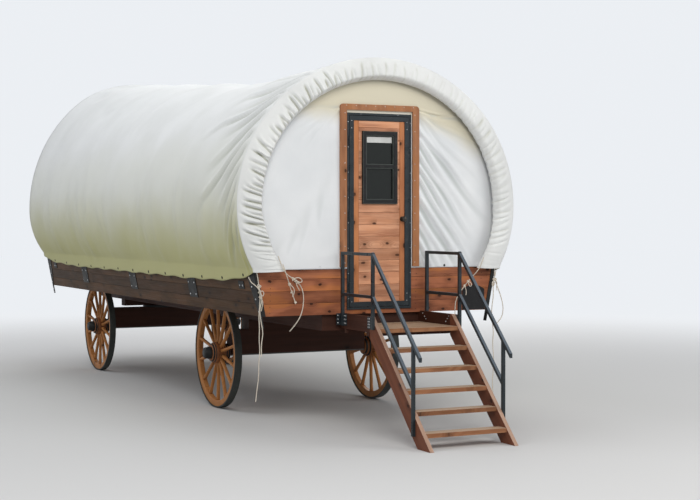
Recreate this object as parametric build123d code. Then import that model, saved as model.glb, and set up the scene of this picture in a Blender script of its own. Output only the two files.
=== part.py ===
from build123d import *
import math
import os

# Covered wagon: a plank box on four spoked wheels under a canvas cover on bows,
# with a framed door, a landing and stairs at one end.
# Millimetres. +Z is up and the floor is z = 0. The wagon runs along Y: the door end
# faces -Y and the steered end faces +Y. Left is -X. The origin is on the floor, below
# the middle of the whole outline.

# Box
box_length = 7315.0
floor_half_width = 1220.0        # outer face of the side boards at their lower edge
board_bottom = 1075.0
board_pitch = 114.0
board_gap = 2.5
board_count = 4
board_thickness = 38.0
side_flare = 0.197               # sideways travel of a side for each unit of height
deck_top = 1200.0
deck_thickness = 30.0
deck_board_width = 180.0
deck_groove = 4.0
joist_width = 45.0
joist_pitch = 610.0
sill_spacing = 1100.0            # between the centres of the two long sills
sill_width = 76.0
sill_depth = 155.0
bearer_width = 38.0              # boards across the ends of the sills

# Running gear
wheel_radius = 577.0
tyre_width = 75.0
tyre_thickness = 14.0
felloe_depth = 62.0
felloe_width = 60.0
spoke_count = 14
spoke_root_diameter = 50.0
spoke_tip_diameter = 36.0
hub_diameter = 218.0
hub_end_diameter = 170.0
nose_diameter = 130.0
wheel_face = 945.0               # outer face of a tyre from the centre line
hub_inner_face = 795.0
hub_outer_face = 990.0
nose_face = 1070.0
nose_wall = 28.0
spindle_diameter = 50.0
running_clearance = 0.05
spindle_end_gap = 8.0
axle_size = 76.0
bolster_half_length = 780.0
bolster_width = 150.0
bolster_top = 812.0
bolster_skirt = 22.0             # how far the beam's cheeks reach below the axle's middle
axle_flange = 12.0               # steel ledge that carries the cheeks
rear_axle_place = 1910.0         # from the door wall
wheelbase = 4250.0
wheel_zone_margin = 60.0
turntable_radius = 300.0
turntable_plate = 12.0
turntable_gap = 0.5
kingpin_diameter = 40.0
kingpin_length = 120.0
hound_width = 70.0
hound_depth = 80.0
hound_spread = 620.0
hound_reach = 1340.0             # from the steered axle to the drawbar pin
hound_tie_share = 0.45           # place of the tie between the hounds, as a share of their reach
jaw_gap = 90.0
jaw_thickness = 12.0
jaw_length = 230.0
jaw_depth = 90.0
jaw_pin_diameter = 26.0
steer_limit = 20.0

# Cover
canvas_thickness = 8.0
bow_thickness = 20.0
bow_width = 45.0
soft_clearance = 0.3
hem_height = 1400.0              # lower edge of the cover along the sides
knee_height = 1520.0             # where the cover leaves the slope of the boards
widest_height = 2100.0
shoulder_angle = 45.0            # where a side's arc meets the crown's arc
hoop_overhang = 55.0             # from an end wall to the cover's own edge
inner_bow_start = 970.0
inner_bow_pitch = 1330.0
inner_bow_count = 5
end_hem_height = 1500.0
hem_half_width = 1235.0
hem_crown = 3300.0
hem_foot_half_width = 1035.0
hem_forward = 75.0               # the gathered edge stands this far beyond the cover's edge
wall_canvas_thickness = 5.0
wall_canvas_gap = 1.0

# Stations along the cover: distance from the door wall, crown height, half width
cover_stations = [
    (-hoop_overhang, 3515.0, 1490.0),
    (2300.0, 3470.0, 1480.0),
    (box_length + hoop_overhang, 3870.0, 1530.0),
]

# Door
frame_half_width = 346.0
frame_bottom = 1115.0
frame_top = 2985.0
frame_face = 21.0
frame_front = -10.0              # from the door wall's face, outward is negative
frame_back = 50.0
door_gap = 5.0
leaf_thickness = 45.0
leaf_rim = 45.0
leaf_board_thickness = 26.0
leaf_board_setback = 6.0
leaf_stile_board = 52.0
leaf_board_pitch = 115.0
leaf_groove = 5.0
window_half_width = 187.0
window_bottom = 2122.0
window_top = 2814.0
window_rim = 36.0
window_bar = 24.0
window_bar_height = 2481.0
window_proud = 14.0
glass_thickness = 6.0
hinge_diameter = 16.0
hinge_pin_diameter = 8.0
hinge_knuckle = 45.0
hinge_stand = 8.0
hinge_tab = 4.0
hinge_tab_width = 34.0
hinge_heights = [1330.0, 2010.0, 2720.0]
knuckle_gap = 0.5
knob_height = 1977.0
knob_diameter = 56.0
knob_reach = 55.0
rose_diameter = 50.0
rose_thickness = 6.0
trim_gap = 10.0                  # between the frame and the border beside it
trim_inner = frame_half_width + trim_gap
trim_width = 70.0
trim_thickness = 20.0
trim_bottom = 1520.0
trim_corner = 35.0
trim_head = 56.0
trim_head_gap = 26.0
trim_top = frame_top + trim_head_gap + trim_head

# Landing and stairs
stair_centre = 45.0
stair_half_width = 442.5         # outer faces of the stringers
plank = 38.0
landing_top = 980.0
landing_board_count = 5
landing_board_gap = 3.0
landing_bearer_places = [60.0, 520.0]
rim_bottom = landing_top - plank
rim_top = 1085.0
rim_length = 575.0
step_rise = 168.0
tread_depth = 140.0
tread_count = 5
nosing = 10.0
stringer_back = 575.0
stringer_front = 605.0
stringer_foot = 222.0
cleat_size = 38.0
landing_depth = stringer_front + rim_top - landing_top + nosing

# Rails
rail_tube = 28.0
back_post_place = 46.0
front_post_place = 662.0
lower_post_place = 1418.0
handrail_height = 1655.0
mid_rail_height = 1268.0
front_post_bottom = 972.0
lower_post_bottom = 105.0
handrail_end = 1545.0
bracket_height = 110.0
bracket_width = 62.0
bracket_thickness = 6.0

# Steel fittings on the box
iron_thickness = 6.0
corner_iron_leg = 36.0           # width of the leg on the end wall
corner_iron_top = 1500.0
corner_iron_foot = 965.0
corner_iron_side_top = 185.0
corner_iron_side_foot = 45.0
side_iron_top = 1395.0
cleat_plate_width = 230.0
cleat_plate_bottom = 1178.0
cleat_plate_places = [1710.0, 3657.0, 5605.0]
pocket_width = 130.0
pocket_bottom = 1320.0
pocket_places = [350.0, 6965.0]
plaque_inset = 42.0              # from the box's lower corner
plaque_bottom = 1081.0
plaque_width = 250.0
plaque_height = 244.0
plaque_shoulder = 200.0          # height of its straight sides
plaque_thickness = 8.0
plaque_centre = floor_half_width - plaque_inset - plaque_width / 2

# Ropes, limp, that hang from the cover's edge at the door end. Each route starts at its
# upper end: sideways place, distance outward from the door wall, height
rope_diameter = 9.0
rope_routes = {
    "rope_left_corner": [
        (-1298, 60, 1498.5), (-1271, 48, 1385), (-1251, 36, 1274), (-1259, 40, 1178), (-1266, 35, 1077),
        (-1260, 40, 967), (-1264, 35, 865), (-1256, 40, 764), (-1270, 41, 648), (-1267, 36, 525),
        (-1288, 40, 405), (-1302, 45, 297),
    ],
    "rope_left_side": [
        (-1326, -60, 1440), (-1335, 0, 1399), (-1312, 56, 1372), (-1268, 62, 1325), (-1236, 56, 1242),
        (-1270, 58, 1146), (-1252, 52, 1040), (-1230, 55, 925), (-1253, 57, 818), (-1249, 59, 710),
    ],
    "rope_left_hem_short": [
        (-1068, 134.8, 1562), (-1054, 165, 1490), (-992, 100, 1392), (-934, 42, 1290), (-892, 34, 1188),
    ],
    "rope_left_hem": [
        (-1116, 135.2, 1638), (-1088, 140, 1562), (-1048, 143, 1478), (-938, 96, 1418), (-838, 46, 1352),
        (-806, 30, 1240), (-824, 32, 1112), (-878, 35, 1010), (-958, 40, 934),
    ],
    "rope_right_hem": [
        (1093, 135, 1599), (1064, 140, 1536), (1022, 142, 1470), (958, 84, 1378), (902, 44, 1290), (846, 34, 1210),
        (822, 30, 1116), (828, 35, 1014),
    ],
    "rope_right_loop": [
        (1262, 69, 1498.5), (1268, 46, 1395), (1316, 45, 1289), (1358, 50, 1179), (1376, 55, 1062),
        (1342, 50, 966), (1270, 45, 918),
    ],
    "rope_right_tail": [
        (1288, 62.4, 1498.5), (1262, 76, 1412), (1243, 66, 1320), (1260, 52, 1216), (1242, 45, 1101),
        (1247, 40, 981), (1272, 35, 858), (1255, 40, 735), (1268, 44, 612), (1270, 36, 487), (1253, 40, 362),
        (1260, 45, 243), (1258, 41, 170),
    ],
}

# The outline's ends, from which the wall's own place follows
stair_foot_place = stringer_front + rim_top
hem_end_place = box_length + hoop_overhang + hem_forward
jaw_end_place = rear_axle_place + wheelbase + hound_reach + jaw_length / 2
front_end_place = max(hem_end_place, jaw_end_place)
wall_y = -(front_end_place - stair_foot_place) / 2
far_wall_y = wall_y + box_length
board_top = board_bottom + board_count * board_pitch
rear_axle_y = wall_y + rear_axle_place
front_axle_y = rear_axle_y + wheelbase


def block(x, y, z):
    """A box from three (low, high) pairs."""
    size = (x[1] - x[0], y[1] - y[0], z[1] - z[0])
    middle = ((x[0] + x[1]) / 2, (y[0] + y[1]) / 2, (z[0] + z[1]) / 2)
    return Pos(*middle) * Box(*size)


def along_y(outline, y_low, y_high):
    """A solid from an outline of (x, z) points, between two places along Y."""
    wire = Wire.make_polygon([Vector(x, y_low, z) for x, z in outline], close=True)
    return extrude(Face(wire), amount=y_high - y_low, dir=(0, 1, 0))


def along_x(outline, x_low, x_high):
    """A solid from an outline of (y, z) points, between two places along X."""
    wire = Wire.make_polygon([Vector(x_low, y, z) for y, z in outline], close=True)
    return extrude(Face(wire), amount=x_high - x_low, dir=(1, 0, 0))


def rod_x(x_low, x_high, y, z, diameter):
    """A round bar along X."""
    middle = Pos((x_low + x_high) / 2, y, z)
    return middle * Rot(0, 90, 0) * Cylinder(diameter / 2, x_high - x_low)


def both_sides(solid):
    """A solid and its mirror image across the middle of the wagon."""
    return [solid, mirror(solid, about=Plane.YZ)]


def side_face(z, depth=0.0):
    """Half width of the flared side at a height, a given depth in from its outer face."""
    slant = math.sqrt(1 + side_flare ** 2)
    return floor_half_width + side_flare * (z - board_bottom) - depth * slant


def save(name, *solids):
    """Writes the solids of one node."""
    shapes = []
    for solid in solids:
        shapes += solid.solids()
    whole = shapes[0] if len(shapes) == 1 else Compound(children=shapes)
    export_step(whole, "parts/" + name + ".step")


# Box: boards, deck, joists and sills

def board_heights():
    """Lower and upper edge of each board of the box."""
    for index in range(board_count):
        low = board_bottom + index * board_pitch
        yield low, low + board_pitch - board_gap


def side_boards(side):
    """The boards of one flared side, between the two end walls."""
    boards = []
    for low, high in board_heights():
        outline = [
            (side * side_face(low), low),
            (side * side_face(high), high),
            (side * side_face(high, board_thickness), high),
            (side * side_face(low, board_thickness), low),
        ]
        boards.append(along_y(outline, wall_y + board_thickness, far_wall_y - board_thickness))
    return boards


def end_boards(y_low, y_high):
    """The boards of an end wall, cut to the flare of the sides."""
    boards = []
    for low, high in board_heights():
        outline = [
            (-side_face(low), low),
            (side_face(low), low),
            (side_face(high), high),
            (-side_face(high), high),
        ]
        boards.append(along_y(outline, y_low, y_high))
    return boards


def door_opening(margin):
    """The space of the door frame, a margin larger, through the end wall."""
    half = frame_half_width + margin
    return block((-half, half), (wall_y - 100, wall_y + 200), (frame_bottom - margin, frame_top + margin))


def deck():
    """The floor between the sides, with the joints of its boards cut in the top."""
    low = deck_top - deck_thickness
    outline = [
        (-side_face(low, board_thickness), low),
        (side_face(low, board_thickness), low),
        (side_face(deck_top, board_thickness), deck_top),
        (-side_face(deck_top, board_thickness), deck_top),
    ]
    solid = along_y(outline, wall_y + board_thickness, far_wall_y - board_thickness)
    solid -= block((-frame_half_width - 1, frame_half_width + 1), (wall_y, wall_y + frame_back + 1),
                   (low - 1, deck_top + 1))
    joint_count = int(2 * floor_half_width / deck_board_width) - 1
    for index in range(joint_count):
        x = (index - (joint_count - 1) / 2) * deck_board_width
        solid -= block((x - deck_groove / 2, x + deck_groove / 2), (wall_y, far_wall_y),
                       (deck_top - deck_groove, deck_top + 1))
    return solid


def near_a_wheel(y):
    """True where a wheel, turned to its lock at the steered end, passes below the deck."""
    turned = math.radians(steer_limit)
    steered_reach = wheel_face * math.sin(turned) + wheel_radius * math.cos(turned) / 2
    near_fixed = abs(y - rear_axle_y) < wheel_radius + wheel_zone_margin
    near_steered = abs(y - front_axle_y) < steered_reach + wheel_zone_margin
    return near_fixed or near_steered


def joists():
    """Timbers across the sills, short ones above the wheels."""
    low = board_bottom
    high = deck_top - deck_thickness
    count = int((box_length - 2 * board_thickness - joist_width) / joist_pitch) + 1
    first = wall_y + box_length / 2 - (count - 1) * joist_pitch / 2
    solids = []
    for index in range(count):
        y = first + index * joist_pitch
        if near_a_wheel(y):
            low_half = high_half = sill_spacing / 2 + sill_width / 2
        else:
            low_half = side_face(low, board_thickness)
            high_half = side_face(high, board_thickness)
        outline = [(-low_half, low), (low_half, low), (high_half, high), (-high_half, high)]
        solids.append(along_y(outline, y - joist_width / 2, y + joist_width / 2))
    return solids


sill_top = board_bottom
sill_bottom = sill_top - sill_depth


def sills():
    """The two long timbers under the joists and the boards across their ends."""
    x = sill_spacing / 2
    y_low = wall_y + board_thickness + bearer_width
    y_high = far_wall_y - board_thickness - bearer_width
    timber = block((x - sill_width / 2, x + sill_width / 2), (y_low, y_high), (sill_bottom, sill_top))
    return both_sides(timber)


def end_bearers():
    """Boards that close the ends of the sills."""
    half = sill_spacing / 2 + sill_width / 2
    solids = []
    for y in (wall_y + board_thickness, far_wall_y - board_thickness - bearer_width):
        solids.append(block((-half, half), (y, y + bearer_width), (sill_bottom, sill_top)))
    return solids


# Running gear

axle_height = wheel_radius


def wheel(side, y):
    """Hub, spokes and felloe of one wheel, outer face towards the given side."""
    bore = spindle_diameter / 2 + running_clearance
    middle = wheel_face - tyre_width / 2
    profile = [
        (bore, hub_inner_face),
        (hub_end_diameter / 2, hub_inner_face),
        (hub_diameter / 2, hub_inner_face + 45),
        (hub_diameter / 2, hub_outer_face - 30),
        (hub_end_diameter / 2, hub_outer_face),
        (nose_diameter / 2, hub_outer_face),
        (nose_diameter / 2, nose_face - 8),
        (nose_diameter / 2 - 8, nose_face),
        (0, nose_face),
        (0, nose_face - nose_wall),
        (bore, nose_face - nose_wall),
    ]
    wire = Wire.make_polygon([Vector(x, 0, r) for r, x in profile], close=True)
    hub = revolve(Face(wire), Axis.X, 360)
    rim_outer = wheel_radius - tyre_thickness
    rim_inner = rim_outer - felloe_depth
    rim_low = middle - felloe_width / 2
    rim = Pos(middle, 0, 0) * Rot(0, 90, 0) * Cylinder(rim_outer, felloe_width)
    rim -= Pos(middle, 0, 0) * Rot(0, 90, 0) * Cylinder(rim_inner, felloe_width + 2)
    whole = hub + rim
    root = hub_diameter / 2 - 15
    tip = rim_inner + 10
    for index in range(spoke_count):
        angle = 360 * index / spoke_count
        spoke = Cone(spoke_root_diameter / 2, spoke_tip_diameter / 2, tip - root)
        whole += Rot(angle, 0, 0) * Pos(middle, 0, (root + tip) / 2) * spoke
    whole -= rod_x(hub_inner_face - 1, nose_face - nose_wall, 0, 0, 2 * bore)
    placed = Pos(0, y, axle_height) * whole
    return placed if side > 0 else mirror(placed, about=Plane.YZ)


def tyre(side, y):
    """The steel band round one wheel."""
    middle = wheel_face - tyre_width / 2
    band = Cylinder(wheel_radius, tyre_width) - Cylinder(wheel_radius - tyre_thickness, tyre_width + 2)
    placed = Pos(side * middle, y, axle_height) * Rot(0, 90, 0) * band
    return placed


def axle(y):
    """A square axle with side flanges, and a round spindle at each end."""
    half = bolster_half_length
    bar = block((-half, half), (y - axle_size / 2, y + axle_size / 2),
                (axle_height - axle_size / 2, axle_height + axle_size / 2))
    bar += block((-half, half), (y - bolster_width / 2, y + bolster_width / 2),
                 (axle_height - bolster_skirt - axle_flange, axle_height - bolster_skirt))
    end = nose_face - nose_wall - spindle_end_gap
    return bar + rod_x(-end, end, y, axle_height, spindle_diameter)


def bolster(y):
    """The timber beam that rides on an axle, with cheeks down its two faces."""
    half = bolster_half_length
    beam = block((-half, half), (y - bolster_width / 2, y + bolster_width / 2),
                 (axle_height - bolster_skirt, bolster_top))
    beam -= block((-half - 1, half + 1), (y - axle_size / 2, y + axle_size / 2),
                  (axle_height - axle_size, axle_height + axle_size / 2))
    return beam


def rear_riser(y):
    """Timber between the rear beam and the sills."""
    half = sill_spacing / 2 + sill_width / 2
    return block((-half, half), (y - bolster_width / 2, y + bolster_width / 2), (bolster_top, sill_bottom))


plate_low = bolster_top
upper_plate_low = plate_low + turntable_plate + turntable_gap


def turntable_upper():
    """Fixed plate and timber of the turntable, with the kingpin."""
    plate = Pos(0, front_axle_y, upper_plate_low + turntable_plate / 2) * Cylinder(
        turntable_radius, turntable_plate)
    pin_low = upper_plate_low - kingpin_length
    pin = Pos(0, front_axle_y, (pin_low + upper_plate_low) / 2) * Cylinder(
        kingpin_diameter / 2, kingpin_length)
    return plate + pin


def turntable_riser():
    """Timber between the fixed plate and the sills."""
    half = sill_spacing / 2 + sill_width / 2
    return block((-half, half), (front_axle_y - bolster_width / 2, front_axle_y + bolster_width / 2),
                 (upper_plate_low + turntable_plate, sill_bottom))


def turntable_lower():
    """Turning plate on the steered beam."""
    plate = Pos(0, front_axle_y, plate_low + turntable_plate / 2) * Cylinder(
        turntable_radius, turntable_plate)
    hole = kingpin_diameter / 2 + running_clearance
    return plate - Pos(0, front_axle_y, plate_low) * Cylinder(hole, 4 * turntable_plate)


def front_bolster():
    """The steered beam, bored for the kingpin."""
    hole = kingpin_diameter / 2 + running_clearance
    depth = kingpin_length + 10
    return bolster(front_axle_y) - Pos(0, front_axle_y, bolster_top - depth / 2) * Cylinder(hole, depth)


hound_low = axle_height - hound_depth / 2
jaw_y = front_axle_y + hound_reach


def hounds():
    """Two timbers that run from the steered beam to the drawbar's jaws."""
    y_low = front_axle_y + bolster_width / 2
    y_high = jaw_y - jaw_length / 2
    near_x = hound_spread / 2
    far_x = jaw_gap / 2 + jaw_thickness + hound_width / 2
    half = hound_width / 2
    wire = Wire.make_polygon([
        Vector(near_x - half, y_low, hound_low),
        Vector(near_x + half, y_low, hound_low),
        Vector(far_x + half, y_high, hound_low),
        Vector(far_x + half, jaw_y + jaw_length / 4, hound_low),
        Vector(far_x - half, jaw_y + jaw_length / 4, hound_low),
        Vector(far_x - half, y_high, hound_low),
    ], close=True)
    timber = extrude(Face(wire), amount=hound_depth, dir=(0, 0, 1))
    timber -= rod_x(0, 2 * hound_spread, jaw_y, axle_height, jaw_pin_diameter)
    tie_y = front_axle_y + hound_reach * hound_tie_share
    tie_half = near_x + half
    tie = block((-tie_half, tie_half), (tie_y - half, tie_y + half),
                (hound_low + hound_depth, hound_low + hound_depth + plank))
    return both_sides(timber) + [tie]


def drawbar_jaws():
    """Steel cheeks inside the hounds' ends, with a hole across for the drawbar pin."""
    inner = jaw_gap / 2
    cheek = block((inner, inner + jaw_thickness), (jaw_y - jaw_length / 2, jaw_y + jaw_length / 2),
                  (axle_height - jaw_depth / 2, axle_height + jaw_depth / 2))
    cheek -= rod_x(0, 2 * inner, jaw_y, axle_height, jaw_pin_diameter)
    return both_sides(cheek)


# Cover

class Arch:
    """The size of one outline of the cover, looking along the wagon."""

    def __init__(self, half_width, crown, knee, foot, foot_height):
        self.half_width = half_width
        self.crown = crown
        self.knee = knee
        self.foot = foot
        self.foot_height = foot_height

    def inset(self, depth):
        """The same outline, moved inwards."""
        sideways = depth * math.sqrt(1 + side_flare ** 2)
        return Arch(self.half_width - depth, self.crown - depth,
                    self.knee - sideways, self.foot - sideways, self.foot_height)

    def edges(self, y):
        """Edges from the right foot over the crown to the left foot.

        A low arc leads from the knee out to the widest place, and the side's arc
        meets the crown's arc smoothly."""
        rise = widest_height - knee_height
        out = self.half_width - self.knee
        low_radius = (rise ** 2 + out ** 2) / (2 * out)
        low_angle = math.asin(rise / low_radius) / 2
        low_middle = (self.half_width - low_radius + low_radius * math.cos(low_angle),
                      widest_height - low_radius * math.sin(low_angle))
        height = self.crown - widest_height
        across = math.sin(math.radians(shoulder_angle))
        upward = math.cos(math.radians(shoulder_angle))
        scale = across * upward - (1 - across) * (1 - upward)
        side_radius = (across * height - (1 - upward) * self.half_width) / scale
        crown_radius = (upward * self.half_width - (1 - across) * height) / scale
        join = (crown_radius * across, self.crown - crown_radius * (1 - upward))
        side_angle = math.radians(90 - shoulder_angle) / 2
        side_middle = (self.half_width - side_radius * (1 - math.cos(side_angle)),
                       widest_height + side_radius * math.sin(side_angle))
        knee = (self.knee, knee_height)
        widest = (self.half_width, widest_height)

        def at(point, side):
            return Vector(side * point[0], y, point[1])

        found = [ThreePointArc(at(join, 1), Vector(0, y, self.crown), at(join, -1)).edge()]
        for side in (1, -1):
            found.append(Line(at((self.foot, self.foot_height), side), at(knee, side)).edge())
            found.append(ThreePointArc(at(knee, side), at(low_middle, side), at(widest, side)).edge())
            found.append(ThreePointArc(at(widest, side), at(side_middle, side), at(join, side)).edge())
        return found

    def face(self, y):
        """The whole space inside the outline, as one face."""
        closing = Line(Vector(self.foot, y, self.foot_height), Vector(-self.foot, y, self.foot_height))
        return Face(Wire(self.edges(y) + [closing.edge()]))


cover_standoff = soft_clearance + bow_thickness + soft_clearance + canvas_thickness


def cover_arch(half_width, crown, foot_height=hem_height):
    """The cover's outer outline, standing off the sloping boards by the bows."""
    return Arch(half_width, crown, side_face(knee_height, -cover_standoff),
                side_face(foot_height, -cover_standoff), foot_height)


def hem_arch():
    """The outline of the gathered edge."""
    sink = (knee_height - end_hem_height) * side_flare
    return Arch(hem_half_width, hem_crown, hem_foot_half_width + sink,
                hem_foot_half_width, end_hem_height)


def arch_solid(inset, lower=0.0):
    """The space inside the cover along the whole wagon, a given inset in."""
    faces = []
    for place, crown, half_width in cover_stations:
        outline = cover_arch(half_width, crown, hem_height - lower).inset(inset)
        faces.append(outline.face(wall_y + place))
    return loft(faces, ruled=True)


def cover():
    """The canvas over the bows, open below and at both ends."""
    return arch_solid(0.0) - arch_solid(canvas_thickness, canvas_thickness)


def bows():
    """Flat bent bows under the cover, one at each end and the rest between."""
    inset = canvas_thickness + soft_clearance
    hoop = arch_solid(inset) - arch_solid(inset + bow_thickness, canvas_thickness)
    places = [-wall_canvas_gap - wall_canvas_thickness - bow_width / 2]
    for index in range(inner_bow_count):
        places.append(inner_bow_start + index * inner_bow_pitch)
    places.append(box_length - places[0])
    solids = []
    for place in places:
        y = wall_y + place
        foot = hem_height if 0 < place < box_length else end_hem_height
        slab = block((-2 * floor_half_width, 2 * floor_half_width),
                     (y - bow_width / 2, y + bow_width / 2), (foot, 2 * widest_height))
        solids.append(hoop & slab)
    return solids


def end_hem(station, outward):
    """The band that the drawstring gathers inwards at one end of the cover."""
    place, crown, half_width = station
    mouth = hem_arch().face(-hem_forward)
    funnel = loft([cover_arch(half_width, crown, end_hem_height).face(0), mouth], ruled=True)
    inside = Pos(0, canvas_thickness, 0) * funnel
    prism = extrude(mouth, amount=hem_forward, dir=(0, 1, 0))
    band = funnel - inside - prism
    if outward > 0:
        band = mirror(band, about=Plane.XZ)
    return Pos(0, wall_y + place, 0) * band


def wall_canvas(y_wall, outward, opening=None):
    """The flat canvas of an end wall, inside the cover and above the boards."""
    y_near = y_wall + outward * wall_canvas_gap
    y_far = y_near + outward * wall_canvas_thickness
    slab = block((-2 * floor_half_width, 2 * floor_half_width), (min(y_near, y_far), max(y_near, y_far)),
                 (corner_iron_top + wall_canvas_thickness, 2 * widest_height))
    panel = arch_solid(canvas_thickness + soft_clearance) & slab
    return panel - opening if opening is not None else panel


# Steel fittings on the box

def side_slab(thickness, z_low, z_high):
    """A sheet of a given thickness against the outer face of the right side."""
    outline = [
        (side_face(z_low), z_low),
        (side_face(z_high), z_high),
        (side_face(z_high, -thickness), z_high),
        (side_face(z_low, -thickness), z_low),
    ]
    return along_y(outline, wall_y - 2 * plank, far_wall_y + 2 * plank)


def side_plate(outline, z_low, z_high):
    """A steel plate on the right side, from an outline of (place, height) points."""
    points = [(wall_y + place, z) for place, z in outline]
    plate = along_x(points, 0, 2 * floor_half_width)
    return plate & side_slab(iron_thickness, z_low, z_high)


def corner_iron(outward):
    """A tapered angle on the right corner of one end."""
    def from_wall(distance):
        return distance if outward < 0 else box_length - distance

    side_leg = side_plate([
        (from_wall(-iron_thickness), corner_iron_foot),
        (from_wall(corner_iron_side_foot), corner_iron_foot),
        (from_wall(corner_iron_side_foot), board_bottom),
        (from_wall(corner_iron_side_top), corner_iron_top),
        (from_wall(-iron_thickness), corner_iron_top),
    ], corner_iron_foot, corner_iron_top)
    outline = [
        (side_face(board_bottom) - corner_iron_leg, board_bottom),
        (side_face(board_bottom, -iron_thickness), board_bottom),
        (side_face(corner_iron_top, -iron_thickness), corner_iron_top),
        (side_face(corner_iron_top) - corner_iron_leg, corner_iron_top),
    ]
    y_one = wall_y + from_wall(-iron_thickness)
    y_two = wall_y + from_wall(0)
    front_leg = along_y(outline, min(y_one, y_two), max(y_one, y_two))
    return side_leg + front_leg


def side_irons():
    """Flat plates that tie the side boards, and the short pockets near the ends."""
    solids = []
    plates = [(place, cleat_plate_width, cleat_plate_bottom) for place in cleat_plate_places]
    plates += [(place, pocket_width, pocket_bottom) for place in pocket_places]
    for place, width, bottom in plates:
        outline = [(place - width / 2, bottom), (place + width / 2, bottom),
                   (place + width / 2, side_iron_top), (place - width / 2, side_iron_top)]
        solids += both_sides(side_plate(outline, bottom, side_iron_top))
    return solids


def plaque():
    """A blank plate with an arched top on the door wall."""
    half = plaque_width / 2
    y = wall_y - plaque_thickness
    low = plaque_bottom
    shoulder = plaque_bottom + plaque_shoulder
    top = plaque_bottom + plaque_height
    left = Vector(plaque_centre - half, y, shoulder)
    right = Vector(plaque_centre + half, y, shoulder)
    wire = Wire([
        Line(Vector(left.X, y, low), Vector(right.X, y, low)).edge(),
        Line(Vector(right.X, y, low), right).edge(),
        ThreePointArc(right, Vector(plaque_centre, y, top), left).edge(),
        Line(left, Vector(left.X, y, low)).edge(),
    ])
    return extrude(Face(wire), amount=plaque_thickness, dir=(0, 1, 0))


# Door

frame_inner = frame_half_width - frame_face
leaf_half_width = frame_inner - door_gap
leaf_bottom = frame_bottom + frame_face + door_gap
leaf_top = frame_top - frame_face - door_gap
leaf_front_y = wall_y + frame_front
hinge_x = -(leaf_half_width + door_gap / 2)
hinge_y = leaf_front_y - hinge_stand
glass_front = leaf_front_y + leaf_board_setback + glass_thickness


def ring(half_width, bottom, top, rim, y_low, y_high):
    """A rectangular frame that faces along the wagon."""
    outer = block((-half_width, half_width), (y_low, y_high), (bottom, top))
    inner = block((-half_width + rim, half_width - rim), (y_low - 1, y_high + 1),
                  (bottom + rim, top - rim))
    return outer - inner


def knuckle(z_low, z_high):
    """One barrel of a hinge."""
    return Pos(hinge_x, hinge_y, (z_low + z_high) / 2) * Cylinder(hinge_diameter / 2, z_high - z_low)


def hinge_plate(x_low, x_high, z_low, z_high):
    """The plate that carries a hinge's barrel on the frame or on the leaf."""
    return block((x_low, x_high), (leaf_front_y - hinge_tab, leaf_front_y), (z_low, z_high))


def door_frame():
    """The steel frame in the wall, with the lower barrels and the pins of the hinges."""
    solid = ring(frame_half_width, frame_bottom, frame_top, frame_face, leaf_front_y, wall_y + frame_back)
    for middle in hinge_heights:
        low = middle - hinge_knuckle
        high = middle - knuckle_gap / 2
        solid += knuckle(low, high)
        solid += hinge_plate(hinge_x - hinge_tab_width / 2, hinge_x, low, high)
        pin_height = 2 * hinge_knuckle - hinge_tab
        pin = Pos(hinge_x, hinge_y, low + pin_height / 2) * Cylinder(hinge_pin_diameter / 2, pin_height)
        solid += pin
    return solid


def leaf_steel():
    """The steel rim of the door leaf, with the upper barrels of the hinges."""
    solid = ring(leaf_half_width, leaf_bottom, leaf_top, leaf_rim, leaf_front_y,
                 leaf_front_y + leaf_thickness)
    bore = hinge_pin_diameter / 2 + running_clearance
    for middle in hinge_heights:
        low = middle + knuckle_gap / 2
        high = middle + hinge_knuckle
        solid += knuckle(low, high)
        solid += hinge_plate(hinge_x + door_gap / 4, hinge_x + hinge_tab_width, low, high)
        solid -= Pos(hinge_x, hinge_y, (low + high) / 2) * Cylinder(bore, high - low + 2)
    return solid


def leaf_boards():
    """The leaf's boarding: a stile board each side and boards across, with the window cut."""
    half = leaf_half_width - leaf_rim
    low = leaf_bottom + leaf_rim
    high = leaf_top - leaf_rim
    front = leaf_front_y + leaf_board_setback
    panel = block((-half, half), (front, front + leaf_board_thickness), (low, high))
    panel -= block((-window_half_width, window_half_width), (front - 1, front + 2 * leaf_board_thickness),
                   (window_bottom, window_top))
    inner = half - leaf_stile_board
    groove = leaf_groove / 2
    for side in (-1, 1):
        panel -= block((side * inner - groove, side * inner + groove), (front - 1, front + groove),
                       (low - 1, high + 1))
    for index in range(1, int((high - low) / leaf_board_pitch) + 1):
        z = low + index * leaf_board_pitch
        panel -= block((-inner, inner), (front - 1, front + groove), (z - groove, z + groove))
    return panel


def window_frame():
    """The window's rim in the leaf, with one bar across it."""
    front = leaf_front_y - window_proud
    back = leaf_front_y + leaf_board_setback + leaf_board_thickness
    solid = ring(window_half_width, window_bottom, window_top, window_rim, front, back)
    half = window_half_width - window_rim
    solid += block((-half, half), (front, glass_front), (window_bar_height - window_bar / 2,
                                                        window_bar_height + window_bar / 2))
    return solid


def window_glass():
    """The pane behind the bar."""
    half = window_half_width - window_rim
    return block((-half, half), (glass_front, glass_front + glass_thickness),
                 (window_bottom + window_rim, window_top - window_rim))


def door_knob():
    """A round knob on its rose."""
    face = leaf_front_y + leaf_board_setback
    profile = [
        (0, 0), (rose_diameter / 2, 0), (rose_diameter / 2, rose_thickness),
        (knob_diameter * 0.22, rose_thickness + 2), (knob_diameter * 0.2, knob_reach * 0.45),
        (knob_diameter * 0.42, knob_reach * 0.55), (knob_diameter / 2, knob_reach * 0.75),
        (knob_diameter * 0.42, knob_reach * 0.95), (0, knob_reach),
    ]
    wire = Wire.make_polygon([Vector(r, -y, 0) for r, y in profile], close=True)
    place = leaf_half_width - leaf_rim - leaf_stile_board / 2
    return Pos(place, face, knob_height) * revolve(Face(wire), Axis.Y, 360)


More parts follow.
